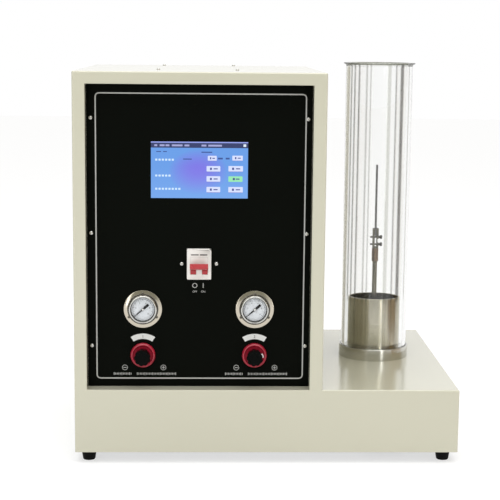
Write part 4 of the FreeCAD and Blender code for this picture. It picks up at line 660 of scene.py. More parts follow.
def turned_steel(name, colour, centre, axis="z", roughness=0.26, pitch=0.0005, depth=0.012, inside=0.0,
                 **constants):
    """Turned metal: tool lines at even steps along the axis and out from it, seen as rings, with a slow
    change of tone; nearer to the axis than the inside radius it is painted dark, painted shade for the
    hollow."""
    recipe = Recipe(name)
    distance, height, angle = recipe.round_axis(centre, axis)
    fine = recipe.noise(recipe.joined(distance / pitch, height / pitch, angle * 0.05), 1.0, 2.0, 0.6)
    slow = recipe.noise(recipe.coordinates(), 18.0, 2.0)
    tone = recipe.toned(fine * 0.5 + slow * 0.5, colour, 0.94, 1.05)
    # Painted shade: within the inside radius the colour is darkened, standing in for the shade in the hollow
    if inside:
        tone = recipe.blend(1.0 - distance.above(inside), tone, shade(colour, 0.12))
    return recipe.finish(tone, roughness - 0.02 + fine * 0.04, fine, depth, 0.0001, Metallic=1.0,
                         Anisotropic=0.7, Anisotropic_Rotation=0.25, **constants)


def brushed(name, colour, roughness=0.3, stretch=(30.0, 30.0, 1800.0), depth=0.1):
    """Brushed or plated sheet metal: lines along the directions with small scale numbers."""
    recipe = Recipe(name)
    place = recipe.coordinates(scale=stretch)
    line = recipe.noise(place, 1.0, 3.0, 0.65)
    slow = recipe.noise(recipe.coordinates(), 20.0, 2.0)
    tone = recipe.toned(line * 0.5 + slow * 0.5, colour, 0.86, 1.1)
    return recipe.finish(tone, roughness - 0.06 + line * 0.12, line, depth, 0.0002, Metallic=1.0)


def printed(name, colour, roughness=0.55):
    """Screen-printed ink: a thin, slightly uneven film."""
    recipe = Recipe(name)
    place = recipe.coordinates()
    film = recipe.noise(place, 1800.0, 2.0)
    tone = recipe.toned(film, colour, 0.9, 1.08)
    return recipe.finish(tone, roughness, film, 0.05, 0.0002)


def lit(name, colour, strength=1.0):
    """A plainly glowing part of the touch screen, with the faint rows of its pixels, sin(18 z) with z in
    millimetres."""
    recipe = Recipe(name)
    _, _, z = recipe.axes(recipe.coordinates(scale=(1000.0, 1000.0, 1000.0)))
    rows = (z * 18.0).sine() * 0.02 + 0.98
    tone = recipe.blend(rows, shade(colour, 0.5), colour)
    return recipe.finish(shade(colour, 0.04), 0.25, Emission_Color=tone, Emission_Strength=strength)


def screen_glow(name):
    """The screen's own picture: blue that turns violet round its middle, 1 - 0.55 distance^2, and pales
    below."""
    blue = (0.115, 0.33, 0.82)
    violet = (0.19, 0.155, 0.80)
    pale = (0.22, 0.46, 0.93)
    recipe = Recipe(name)
    centre = tuple(spot([SCREEN[0] - 2.0, PANEL_FACE, SCREEN[1] - 3.0]))
    x, _, z = recipe.axes(recipe.coordinates(scale=(1 / 0.034, 1.0, 1 / 0.026), centre=centre))
    near = (1.0 - (x * x + z * z) * 0.55).larger(0.0)
    low = ((0.0 - z) * 0.35 + 0.12).larger(0.0)
    tone = recipe.blend(near, blue, violet)
    tone = recipe.blend(low * 0.55, tone, pale)
    return recipe.finish((0.004, 0.005, 0.01), 0.12, Emission_Color=tone, Emission_Strength=0.95,
                         Coat_Weight=0.3, Coat_Roughness=0.05)


def thin_pane(name):
    """A thin clear pane: mostly let through, with a mirror's share of gloss."""
    recipe = Recipe(name)
    smear = recipe.noise(recipe.coordinates(), 60.0, 2.0)
    return recipe.finish((0.05, 0.055, 0.06), 0.03 + smear * 0.04, IOR=3.2, Alpha=0.05)


def painted_streak_glass(name, centre, radius, low, lip):
    """Glass tube with painted reflections: dark streaks along its outside where less light comes through,
    standing in for the reflections seen in the glass, flat in the middle of their width and fading to its
    sides, fainter below a low height; the lip above another height is greyer, painted shade for its dark
    rim."""
    tint = (0.97, 0.98, 0.88)
    clear_tone = (1.0, 1.0, 1.0)
    plain = (0.985, 0.99, 0.985)
    recipe = Recipe(name)
    distance, height, angle = recipe.round_axis(centre)
    lines = None
    # Painted reflections: darker bands at fixed angles round the tube stand in for reflections in the glass
    for group in (PAINTED_STREAKS[:5], PAINTED_STREAKS[5:]):
        stops = []
        for middle, half, clear in group:
            dark = shade(tint, clear ** 2)
            for side, tone in ((-1.0, clear_tone), (-0.55, dark), (0.55, dark), (1.0, clear_tone)):
                stops.append((0.5 + (middle + side * half) / 360.0, tone))
        ramp = recipe.node("ShaderNodeValToRGB", {"stops": stops}, {0: angle / 360.0 + 0.5})
        lines = ramp if lines is None else recipe.node(
            "ShaderNodeVectorMath", {"operation": "MULTIPLY"}, {0: lines, 1: ramp})
    broken = recipe.noise(recipe.joined(angle * 0.3, height * 9.0, 4.0), 1.0, 2.0)
    faint = recipe.noise(recipe.joined(angle * 0.5, height * 1.5, 0.0), 1.0, 3.0, 0.7)
    tone = recipe.blend(broken * 0.2, lines, (0.99, 1.0, 0.99))
    tone = recipe.blend(faint.above(0.68) * 0.16, tone, (0.60, 0.62, 0.59))
    tone = recipe.blend(recipe.eased(height, low, low + 0.015, 0.25, 1.0), plain, tone)
    tone = recipe.blend(distance.above(radius), plain, tone)
    # Painted shade: the lip is painted greyer, standing in for the dark edge of the rim
    tone = recipe.blend(height.above(lip) * 0.9, tone, (0.27, 0.28, 0.22))
    return recipe.finish(tone, 0.0, Transmission_Weight=1.0, IOR=1.47, Specular_IOR_Level=0.3)


def glass_beads_finish(name):
    """Small glass beads seen as one bed: pale, glossy, partly clear."""
    recipe = Recipe(name)
    place = recipe.coordinates()
    tone = recipe.blend(recipe.noise(place, 260.0, 1.0), (0.50, 0.54, 0.53), (0.86, 0.89, 0.88))
    return recipe.finish(tone, 0.06, Transmission_Weight=0.55, IOR=1.5)


def repaint(material, *nodes):
    """Give carried-over nodes their finish."""
    for node in nodes:
        data = frame["nodes"][node].data
        data.materials.clear()
        data.materials.append(material)


# Pieces


class TESTER_OT_cabinet(bpy.types.Operator):
    """Finish the cabinet shell, the rear panel and the sheet-metal pieces, and make the rubber feet"""

    bl_idname = "tester.cabinet"
    bl_label = "Cabinet"

    def execute(self, context):
        colours = context.scene.tester_finishes
        paint = powder_coat("cabinet_powder_coat", tuple(colours.paint))
        repaint(paint, "cabinet_shell", "rear_panel")
        zinc = brushed("zinc_plated_sheet", (0.55, 0.56, 0.57), 0.36, stretch=(40.0, 900.0, 900.0))
        repaint(zinc, "base_plate", "control_tray", "breaker_bracket", "power_supply")
        rubber = moulded("foot_rubber", (0.003, 0.003, 0.003), 0.6, grain=900.0, depth=0.15,
                         Specular_IOR_Level=0.1)
        profile = softened([(4.4, 0), (9.0, 0), (9.8, 1.4), (11.9, 15), (12.0, 18), (2.2, 18), (2.2, 10),
                            (4.4, 10)], [0.3, 0.3, 1.2, 1.0, 0.1, 0.1, 0.1, 0.2])
        turns = 48
        faces, uv = spun_cells(profile, turns)
        points, faces = repeated(spun(profile, turns), faces, FEET)
        feet = new_piece("rubber_feet", points, faces, rubber, "cabinet", uv=np.tile(uv, (len(FEET), 1)))
        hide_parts("feet")
        return {"FINISHED"}


class TESTER_OT_panel(bpy.types.Operator):
    """Finish the control panel and print its border and marks"""

    bl_idname = "tester.panel"
    bl_label = "Control panel"

    def execute(self, context):
        colours = context.scene.tester_finishes
        repaint(matt_panel("panel_black_matt", tuple(colours.panel)), "front_panel")
        ink = printed("panel_ink", tuple(colours.print_grey))
        white_ink = printed("label_ink", (0.66, 0.67, 0.66))
        dark = printed("label_dark_ink", (0.02, 0.02, 0.02))
        y = PANEL_FACE - 0.08
        border = front_print("panel_border", [self.border_line(context.scene.tester_details, y)], ink)
        marks = []
        for x, z in REGULATORS.values():
            marks += self.regulator_marks(x, z, y)
        off, on = BREAKER[0] - 6.5, BREAKER[0] + 6.5
        signs, words = 260.5, 251.0
        tall, small = 7.6, 3.0
        marks.append(lettering([("O", off, signs, tall), ("I", on, signs, tall), ("OFF", off, words, small),
                                ("ON", on, words, small)], y))
        front_print("panel_marks", marks, ink, merge=False)
        inner, outer = 26.9, 35.4
        start, end = 57.5, 122.5
        labels = [arc_band((x, z - 1.3), inner, outer, start, end, y) for x, z in REGULATORS.values()]
        arcs = front_print("panel_arc_labels", labels, white_ink)
        digits = [(str(number), x, z + 29.6, 4.2) for number, (x, z) in enumerate(REGULATORS.values(), 1)]
        numbers = front_print("panel_arc_numbers", [lettering(digits, y - 0.06)], dark)
        return {"FINISHED"}

    def border_line(self, sizes, y):
        """The line round the panel: a rectangle with eased corners, and the same less the line's width."""
        width = sizes.border_width * 1000
        corner = sizes.border_corner * 1000
        outer = softened(CORNERS * BORDER_HALF, corner * 1.3, 10) + BORDER_MIDDLE
        inner = softened(CORNERS * (BORDER_HALF - width), (corner - width) * 1.3, 10) + BORDER_MIDDLE
        rim = np.stack([outer, inner])
        points = np.stack([rim[..., 0], np.full(rim.shape[:2], y), rim[..., 1]], axis=-1)
        return points, quads(2, len(outer), wrap_columns=True)

    def regulator_marks(self, x, z, y):
        """A ringed minus and plus beside a regulator, and under it a row of ticks whose every fifth is
        taller, with a gap at about a third of its length."""
        marks = []
        minus = ((5.0, 0.9),)
        plus = ((5.0, 0.9), (0.9, 5.0))
        for side, bars in ((-1, minus), (1, plus)):
            place = (x + 1.9 + side * 30.0, z - 20.0)
            marks.append(arc_band(place, 3.6, 4.3, 0, 360, y))
            marks.append(flat_plates([place] * len(bars), bars, 0.3, y))
        pitch = 2.4
        width = 1.1
        gap = 13.0
        step = np.arange(41)
        step = step[np.abs(step - gap) > 1.5]
        tall = 3.2 + 0.9 * (step % 5 == 0)
        centres = np.stack([x - 45.0 + step * pitch, np.full(len(step), z - 30.0)], axis=-1)
        marks.append(flat_plates(centres, np.stack([np.full(len(step), width), tall], axis=-1), 0.15, y))
        return marks


class TESTER_OT_display(bpy.types.Operator):
    """Light the touch screen and lay out its plain buttons and rows"""

    bl_idname = "tester.display"
    bl_label = "Touch screen"

    def execute(self, context):
        repaint(screen_glow("screen_picture"), "display_glass")
        y = SCREEN_FACE - 0.05
        wide, tall = SCREEN_SIZE
        left = SCREEN[0] - wide / 2
        top = SCREEN[1] + tall / 2

        def add(name, rows, colour, corner=0.2, depth=0.0):
            """Plates on the screen: (u, v, width, height) each, in shares of it from its upper left."""
            centres = [(left + u * wide, top - v * tall) for u, v, _, _ in rows]
            sizes = [(w * wide, h * tall) for _, _, w, h in rows]
            plates = flat_plates(centres, sizes, corner, y - depth)
            piece = front_print(name, [plates], lit(name + "_light", colour), merge=False)

        add("screen_top_line", [(0.5, 0.008, 1.0, 0.02)], (0.30, 0.36, 0.85))
        add("screen_header", [(0.5, 0.062, 1.0, 0.088)], (0.022, 0.035, 0.13))
        words = [(0.05, 0.03), (0.115, 0.05), (0.17, 0.04), (0.27, 0.11), (0.37, 0.05), (0.545, 0.05),
                 (0.66, 0.14)]
        add("screen_header_words", [(u, 0.064, w, 0.032) for u, w in words], (0.36, 0.38, 0.66), 0.1, 0.04)
        add("screen_header_light", [(0.966, 0.06, 0.028, 0.045)], (0.75, 0.85, 0.95), 0.6, 0.04)
        faint = [(0.08, 0.175, 0.05, 0.016), (0.145, 0.175, 0.04, 0.016), (0.575, 0.182, 0.11, 0.02)]
        faint += [(0.375, 0.305, 0.09, 0.018), (0.715, 0.292, 0.05, 0.03), (0.79, 0.292, 0.04, 0.03)]
        add("screen_dim_words", faint, (0.03, 0.075, 0.28), 0.2, 0.04)
        rows = []
        for v, count in ((0.318, 6), (0.60, 5), (0.835, 8)):
            rows += [(0.055 + step * 0.034, v, 0.022, 0.034) for step in range(count)]
        add("screen_words", rows, (0.62, 0.80, 0.99), 0.3, 0.04)
        buttons = [(0.631, 0.288, 0.092, 0.088), (0.892, 0.283, 0.108, 0.088)]
        buttons += [(0.644, v, 0.142, 0.098) for v in (0.475, 0.655, 0.845)]
        buttons += [(0.874, v, 0.150, 0.098) for v in (0.472, 0.845)]
        add("screen_buttons", buttons, (0.66, 0.72, 0.97), 1.1, 0.04)
        add("screen_green_button", [(0.872, 0.655, 0.146, 0.098)], (0.30, 0.79, 0.42), 1.1, 0.04)
        shadow = [(u, v + h * 0.53, w * 0.96, 0.008) for u, v, w, h in buttons]
        add("screen_button_edges", shadow, (0.16, 0.17, 0.55), 0.1, 0.05)
        icons = [(u - w * 0.18, v, w * 0.14, h * 0.42) for u, v, w, h in buttons]
        icons += [(u + w * 0.16, v, w * 0.3, h * 0.2) for u, v, w, h in buttons]
        icons += [(0.855, 0.655, 0.022, 0.04), (0.894, 0.655, 0.04, 0.02)]
        add("screen_icons", icons, (0.045, 0.06, 0.26), 0.2, 0.08)
        case = moulded("display_case_black", (0.02, 0.02, 0.022))
        repaint(case, "display_body")
        repaint(brushed("clamp_steel", (0.6, 0.6, 0.6)), "display_clamps")
        return {"FINISHED"}


class TESTER_OT_breaker(bpy.types.Operator):
    """Finish the breaker with its label field and slot, and its linked toggle"""

    bl_idname = "tester.breaker"
    bl_label = "Breaker"

    def execute(self, context):
        colours = context.scene.tester_finishes
        white = moulded("breaker_white", (0.82, 0.80, 0.77), 0.34, grain=400.0, depth=0.04, variation=0.03)
        red = moulded("toggle_red", tuple(colours.toggle), 0.28, grain=600.0, depth=0.03, variation=0.1,
                      Coat_Weight=0.3)
        eased_copy("breaker_body", "breaker_case", white, 0.0003)
        eased_copy("breaker_toggle", "breaker_levers", red, 0.0007, 3)
        x, z = BREAKER
        y = BREAKER_FACE - 0.05
        dark = printed("breaker_slot_dark", (0.03, 0.028, 0.026))
        slots = flat_plates([(x - 6.6, z + 14.9), (x + 6.9, z + 14.9)], [(11.8, 1.6), (11.6, 1.8)], 0.3, y)
        front_print("breaker_slots", [slots], dark)
        outline = []
        for u, v, w, h in ((0, 11.2, 27.0, 0.25), (-13.4, 1.9, 0.25, 18.8), (13.4, 1.9, 0.25, 18.8)):
            outline.append(flat_plates([(x + u, z + v)], [(w, h)], 0.05, y))
        shade_line = printed("breaker_line", (0.42, 0.40, 0.38))
        front_print("breaker_label_frame", outline, shade_line)
        return {"FINISHED"}


class TESTER_OT_gauges(bpy.types.Operator):
    """Make the gauges: polished cases, printed dials, needles and lenses"""

    bl_idname = "tester.gauges"
    bl_label = "Gauges"

    def execute(self, context):
        colours = context.scene.tester_finishes
        marks = context.scene.tester_details.dial_marks
        white = moulded("dial_enamel", (0.80, 0.84, 0.89), 0.45, grain=900.0, depth=0.02, variation=0.02,
                        Specular_IOR_Level=0.3)
        ink = printed("dial_ink", (0.03, 0.03, 0.035))
        lens = thin_pane("gauge_lens_glass")
        black = moulded("needle_black", (0.002, 0.002, 0.002), 0.5, depth=0.01, Specular_IOR_Level=0.1)
        seat = 0.0236
        case = softened([
            (0, -33), (7, -33), (7, -25), (20, -25), (20, 0), (29.6, 0), (29.6, 0.3), (29.0, 0.45),
            (24.2, 1.35), (23.9, 0.5), (23.2, 0.5), (22.3, 4.0), (21.8, 6.6), (20.4, 7.5), (19.0, 7.35),
            (18.4, 6.5), (19.2, 6.5), (19.2, 1.5), (0.8, 1.5), (0.8, -8), (0, -8)],
            [0, 0.6, 1, 2, 0.3, 0.1, 0.1, 0.4, 0.15, 0.1, 0.1, 1.4, 1.6, 1.0, 0.6, 0.2, 0.1, 0.2, 0.1, 0.1,
             0], 6, closed=False)
        disc = softened([(1.2, 1.5), (19.0, 1.5), (19.0, 2.3), (1.2, 2.3)], 0.1, 3)
        pane = softened([(0, 5), (19.0, 5), (19.0, 6.5), (0, 6.5)], [0, 0.15, 0.15, 0], 3, closed=False)
        hub = softened([(0, 4.25), (1.75, 4.25), (1.75, 4.55), (1.2, 4.9), (0, 4.95)], 0.15, 3,
                       closed=False)
        for gas, (x, z) in GAUGES.items():
            place = (x, PANEL_FACE, z)
            bright = gauge_steel(gas + "_gauge_polished", tuple(colours.bezel), spot(place), seat)
            shell = turned_piece(gas + "_gauge_shell", case, place, "front", bright, "cabinet", 128,
                                 ring=False)
            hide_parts(gas + "_gauge_case")
            dial = turned_piece(gas + "_gauge_face", disc, place, "front", white, "cabinet")
            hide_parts(gas + "_gauge_dial")
            window = turned_piece(gas + "_gauge_window", pane, place, "front", lens, "cabinet", ring=False)
            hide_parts(gas + "_gauge_lens")
            scale = front_print(gas + "_dial_print", self.scale((x, z), marks), ink, merge=False)
            repaint(black, gas + "_gauge_needle")
            polished = lathe_steel(gas + "_cap_steel", (0.8, 0.8, 0.78))
            cap = turned_piece(gas + "_needle_cap", hub, place, "front", polished, gas + "_needle", 24,
                               ring=False)
        return {"FINISHED"}

    def scale(self, centre, marks):
        """A dial's print: its arc, long and short marks and every other number; the ring at its rim is
        painted shadow.
        """
        y = DIAL_FACE - 0.04
        end = GAUGE_ZERO - GAUGE_SWEEP
        long_marks = np.linspace(GAUGE_ZERO, end, marks)
        short_marks = np.linspace(GAUGE_ZERO, end, (marks - 1) * 5 + 1)
        surfaces = [arc_band(centre, 16.0, 16.25, end, GAUGE_ZERO, y, 90)]
        tip = 16.2
        for angles, root, half in ((long_marks, 13.6, 0.8), (short_marks, 15.0, 0.4)):
            surfaces += [arc_band(centre, root, tip, angle - half, angle + half, y, 2) for angle in angles]
        # Painted shadow: a dark ring at the dial's rim, standing in for the shadow of the bezel's inner wall
        surfaces += [arc_band(centre, 18.0, 18.9, 0, 360, y, 90)]
        out = 11.0
        words = []
        for index, angle in enumerate(np.radians(long_marks[::2])):
            x = centre[0] + out * math.cos(angle)
            z = centre[1] + out * math.sin(angle)
            words.append((str(index * 2), x, z, 2.3))
        return surfaces + [lettering(words, y)]


class TESTER_OT_regulators(bpy.types.Operator):
    """Make the regulators' rings and fluted knobs, and finish their bodies"""

    bl_idname = "tester.regulators"
    bl_label = "Regulators"

    def execute(self, context):
        colours = context.scene.tester_finishes
        flutes = context.scene.tester_details.knob_flutes
        red = moulded("ring_red_lacquer", tuple(colours.ring), 0.3, grain=700.0, depth=0.03, variation=0.08,
                      Coat_Weight=0.5)
        black = moulded("knob_black", (0.0016, 0.0021, 0.0018), 0.40, grain=800.0, Specular_IOR_Level=0.05)
        dot = printed("index_dot_white", (0.62, 0.58, 0.58))
        self.body(tuple(colours.ring))
        ring = softened([(14.8, 0), (19.5, 0), (19.5, 2.6), (18.5, 4.9), (17.0, 6.0), (15.6, 5.7),
                         (14.8, 4.4)], [0.1, 0.3, 1.4, 1.2, 0.9, 0.8, 0.3], 6)
        outline = softened([(5.05, 6.3), (11.3, 6.3), (12.0, 14.5), (12.9, 23.0), (12.2, 24), (9.4, 24),
                            (8.4, 23), (4.6, 23), (4.2, 23.5), (0, 23.5), (0, 18.3), (5.05, 18.3)],
                           [0.1, 0.4, 2.0, 0.5, 0.4, 0.7, 0.4, 0.2, 0.3, 0, 0, 0.1], 6)
        surface = self.fluted(outline, flutes)
        faces, uv = spun_cells(outline, surface.shape[1])
        for gas, (x, z) in REGULATORS.items():
            place = (x, PANEL_FACE, z)
            band = turned_piece(gas + "_panel_ring", ring, place, "front", red, "cabinet")
            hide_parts(gas + "_regulator_ring")
            knob = new_piece(gas + "_fluted_knob", stood(surface, place, "front"), faces, black,
                             gas + "_knob", uv=uv, crease=50)
            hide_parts(gas + "_knob")
        tab = softened([(9.9, 18.6), (14.1, 19.4), (14.1, 23.2), (9.9, 23.97)], 0.5, 4)
        points, faces = arc_block(tab, 7.0, 33.0)
        x, z = REGULATORS["nitrogen"]
        points = stood(points, (x, PANEL_FACE, z), "front")
        new_piece("nitrogen_knob_index", points, faces, dot, "nitrogen_knob")
        return {"FINISHED"}

    def body(self, ring_colour):
        """Regulator bodies: cast metal behind the panel, and in front of it a darker copy of the ring's red,
        painted shade.
        """
        recipe = Recipe("regulator_body_finish")
        _, y, _ = recipe.axes(recipe.coordinates(centre=tuple(spot([0, PANEL_FACE + 1.5, 0]))))
        behind = y.above(0.0)
        fine = recipe.noise(recipe.coordinates(), 300.0, 2.0)
        cast = recipe.blend(fine, (0.48, 0.48, 0.46), (0.58, 0.58, 0.56))
        # Painted shade: in front of the panel the body is a darker copy of the ring's red, standing in for
        # the shaded inner slope
        tone = recipe.blend(behind, shade(ring_colour, 0.6), cast)
        finish = recipe.finish(tone, 0.34 + fine * 0.06, fine, 0.05, 0.0002, Metallic=behind,
                               Specular_IOR_Level=0.15)
        repaint(finish, "oxygen_regulator_body", "nitrogen_regulator_body")

    def fluted(self, outline, flutes):
        """A spun outline whose radius shrinks by 0.115 h o: h = (0.35 + 0.65 cos(flutes a))^1.5 round the
        axis, kept between 0 and 1, and o rising from 0 to 1 between the hub's radius and 1.6 beyond it."""
        turns = 180
        hub = 9.6
        surface = spun(outline, turns)
        angle = np.linspace(0, 2 * np.pi, turns, endpoint=False)
        hollow = np.clip(0.35 + 0.65 * np.cos(flutes * angle)[None], 0, 1) ** 1.5
        outer = np.clip((outline[:, :1] - hub) / 1.6, 0, 1)
        surface[..., :2] *= (1 - 0.115 * hollow * outer)[..., None]
        return surface


def pan_head(radius, height, shank, length, turns=40):
    """A pan-head screw with a cross recess: a dome h (1 - 0.45 (r/R)^3) over a shank, from which the
    product of two box-shaped steps along x and y takes a hollow 0.55 h deep."""
    out = np.linspace(0, 1, 13)
    dome = np.stack([out * radius, height * (1 - 0.45 * out ** 3)], axis=-1)
    rest = np.array([(radius, height * 0.2), (radius * 0.98, 0), (shank, 0), (shank, -length), (0, -length)])
    profile = np.concatenate([dome, rest])
    surface = spun(profile, turns)
    x = np.abs(surface[:len(out), :, 0])
    y = np.abs(surface[:len(out), :, 1])
    arm = radius * 0.13
    reach = radius * 0.62
    side = radius * 0.06
    end = radius * 0.1
    along = np.clip((arm - y) / side + 0.5, 0, 1) * np.clip((reach - x) / end, 0, 1)
    across = np.clip((arm - x) / side + 0.5, 0, 1) * np.clip((reach - y) / end, 0, 1)
    surface[:len(out), :, 2] -= height * 0.55 * np.maximum(along, across)
    return surface, quads(len(profile), turns, False, True)


class TESTER_OT_screws(bpy.types.Operator):
    """Make the pan-head screws of the panel, the gauges, the roof and the rear with their cross recesses"""

    bl_idname = "tester.screws"
    bl_label = "Screws"

    def execute(self, context):
        here = (0, 0, 0)
        steel = lathe_steel("screw_steel", (0.66, 0.65, 0.62), 0.25, lines=12.0, depth=0.05)
        head, faces = pan_head(radius=2.8, height=2.2, shank=1.5, length=7.0)
        points, numbers = repeated(stood(head, here, "front"), faces, PANEL_SCREWS + BREAKER_SCREWS)
        fastener = new_piece("panel_pan_screws", points, numbers, steel, "cabinet", crease=50)
        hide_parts("panel_screws")

        long_head, _ = pan_head(radius=2.8, height=2.2, shank=1.5, length=16.0)
        points, numbers = gathered([
            repeated(head, faces, ROOF_SCREWS),
            repeated(stood(head, here, "rear"), faces, REAR_SCREWS),
            repeated(stood(long_head, here, "rear"), faces, FAN_SCREWS),
        ])
        fastener = new_piece("cabinet_pan_screws", points, numbers, steel, "cabinet", crease=50)
        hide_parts("cabinet_screws")

        small, faces = pan_head(radius=2.2, height=1.6, shank=1.4, length=6.0, turns=32)
        angle = np.radians([90, 210, 330])
        out = 24.7
        depth = np.full(len(angle), PANEL_FACE - 1.15)
        seats = [np.stack([x + out * np.cos(angle), depth, z + out * np.sin(angle)], axis=-1)
                 for x, z in GAUGES.values()]
        points, numbers = repeated(stood(small, here, "front"), faces, np.concatenate(seats))
        dull = lathe_steel("gauge_screw_steel", (0.20, 0.185, 0.155), 0.38, lines=12.0, depth=0.05)
        fastener = new_piece("gauge_pan_screws", points, numbers, dull, "cabinet", crease=50)
        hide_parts("gauge_screws")
        repaint(brushed("hidden_screw_steel", (0.6, 0.6, 0.58)), "foot_screws", "column_screws")
        return {"FINISHED"}


class TESTER_OT_chimney(bpy.types.Operator):
    """Make the glass chimney with its flared and fire-polished lip"""

    bl_idname = "tester.chimney"
    bl_label = "Glass chimney"

    def execute(self, context):
        glass = painted_streak_glass("chimney_glass", spot(COLUMN), radius=0.0555, low=0.195, lip=0.5988)
        profile = softened([
            (50, 109.8), (56, 109.8), (56, 596.5), (57.5, 599.3), (60, 599.3), (60, 601.8), (50, 601.8)],
            [1.2, 1.2, 3.0, 1.6, 1.2, 1.2, 1.2], 6)
        tube = turned_piece("chimney_tube", profile, COLUMN, "up", glass, "glass_chimney", 160)
        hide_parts("glass_tube")
        return {"FINISHED"}


class TESTER_OT_cup(bpy.types.Operator):
    """Make the turned base and cup, the bed of glass beads and the woven screen over it"""

    bl_idname = "tester.cup"
    bl_label = "Cup and base"

    def execute(self, context):
        colours = context.scene.tester_finishes
        sizes = context.scene.tester_details
        # The cup's inside is painted dark within inside=0.0403, painted shade for its hollow
        steel = turned_steel("cup_turned_steel", tuple(colours.steel), spot(COLUMN), roughness=0.23,
                             inside=0.0403)
        cooler = tuple(np.multiply(colours.steel, (1.08, 1.13, 1.30)))
        flange_steel = turned_steel("base_turned_steel", cooler, spot(COLUMN), roughness=0.17, pitch=0.0007)
        repaint(flange_steel, "column_nipple")
        base = softened([(7.2, 100), (59, 100), (59, 119.4), (58.4, BASE_TOP), (56.3, BASE_TOP), (56.3, 108),
                         (49.7, 108), (49.7, BASE_TOP), (30, BASE_TOP), (30, 115), (7.2, 115)],
                        [0.1, 0.3, 0.5, 0.5, 0.3, 0.1, 0.1, 0.4, 0.3, 0.1, 0.1], 4)
        flange = turned_piece("turned_base", base, COLUMN, "up", flange_steel, "cabinet", 160)
        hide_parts("column_base")
        wall = softened([(0, BASE_TOP), (44, BASE_TOP), (44, 204.4), (43.4, 205), (40.6, 205), (40, 204.4),
                         (40, CUP_FLOOR), (8, CUP_FLOOR), (8, 139), (4.05, 139), (4.05, 125.7), (0, 125.7)],
                        [0, 0.4, 0.5, 0.5, 0.5, 0.5, 1, 0.5, 0.6, 0.3, 0.1, 0], 4, closed=False)
        cup = turned_piece("turned_cup", wall, COLUMN, "up", steel, "cabinet", 160, ring=False)
        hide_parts("mixing_cup")
        repaint(moulded("seal_rubber", (0.05, 0.05, 0.05), 0.6), "column_seal")
        self.beads(sizes.bead_radius * 1000)
        self.screen(sizes.mesh_pitch * 1000)
        return {"FINISHED"}

    def beads(self, radius):
        """Balls, each a half circle (r sin p, r cos p) spun round, in rows a diameter apart with every
        other row shifted by half, in one layer on a filled ring."""
        hole, wall = 4.4, 39.6
        pitch = radius * 2.04
        row_step = pitch * 0.866
        count = int(40 / pitch) + 2
        number = np.arange(-count, count + 1)
        i, j = np.meshgrid(number, number, indexing="ij")
        x = (i + 0.5 * (j % 2)) * pitch
        y = j * row_step
        far = np.hypot(x, y)
        keep = (far < wall - radius) & (far > hole + radius)
        jitter = np.random.default_rng(7).uniform(-0.12, 0.12, (keep.sum(), 3))
        height = np.full(keep.sum(), BEAD_TOP - radius - 0.15)
        places = np.stack([x[keep] + COLUMN[0], y[keep] + COLUMN[1], height], axis=-1) + jitter
        polar = np.linspace(0, np.pi, 7)
        ball = spun(np.stack([radius * np.sin(polar), radius * np.cos(polar)], axis=-1), 10)
        points, faces = repeated(ball, quads(len(polar), 10, False, True), places)
        finish = glass_beads_finish("bead_glass")
        layer = new_piece("glass_bead_layer", points, faces, finish, "cabinet", crease=180)
        inner, outer = 8.3, 39.7
        low, high = CUP_FLOOR, BEAD_TOP - radius
        bed = softened([(inner, low), (outer, low), (outer, high), (inner, high)], 0.3, 3)
        core = turned_piece("glass_bead_bed", bed, COLUMN, "up", finish, "cabinet", 64)
        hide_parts("glass_beads")

    def screen(self, pitch):
        """Woven wires: each runs straight across the ring at a height 0.28 sin(pi s / pitch), every other
        one a half wave on, as thin tubes; the pieces inside the holder's hole are left out."""
        rim = 39.2
        hole = 4.6
        thick = 0.24
        lift = BEAD_TOP + 0.52
        line = (np.arange(int(rim / pitch) * 2 + 1) - int(rim / pitch)) * pitch
        reach = np.sqrt(np.maximum(rim ** 2 - line ** 2, 1.0))
        along = np.linspace(-1, 1, 66)
        s = reach[:, None] * along
        wave = 0.28 * np.sin(np.pi * s / pitch + np.pi * np.arange(len(line))[:, None])
        angle = np.linspace(0, 2 * np.pi, 4, endpoint=False) + np.pi / 4
        side = thick * np.cos(angle)
        rise = thick * np.sin(angle)
        shape = (len(line), len(along), len(angle))
        across = np.broadcast_to(line[:, None, None] + side, shape)
        forward = np.broadcast_to(s[:, :, None], shape)
        cells = quads(len(along), len(angle), False, True)
        starts = (np.arange(len(line)) * len(along) * len(angle))[:, None, None]
        faces = (cells[None] + starts).reshape(-1, 4)
        surfaces = []
        for turned in (False, True):
            height = (-wave if turned else wave)[:, :, None] + rise
            first, second = (across, forward) if turned else (forward, across)
            points = np.stack([first + COLUMN[0], second + COLUMN[1], height + lift], axis=-1)
            flat = points.reshape(-1, 3)
            centre = flat[faces].mean(axis=1)
            clear = np.hypot(centre[:, 0] - COLUMN[0], centre[:, 1] - COLUMN[1]) > hole
            surfaces.append((flat, faces[clear]))
        low, high = BEAD_TOP, BEAD_TOP + 1
        for inner, outer in ((38.6, 39.7), (4.35, 5.6)):
            ring = softened([(inner, low), (outer, low), (outer, high), (inner, high)], 0.2, 3)
            band = stood(spun(ring, 72), COLUMN, "up")
            surfaces.append((band, quads(len(ring), 72, True, True)))
        points, faces = gathered(surfaces)
        wire = brushed("screen_wire", (0.58, 0.57, 0.54), 0.3, stretch=(200.0, 200.0, 200.0))
        woven = new_piece("woven_screen", points, faces, wire, "cabinet", crease=60)
        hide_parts("wire_screen")


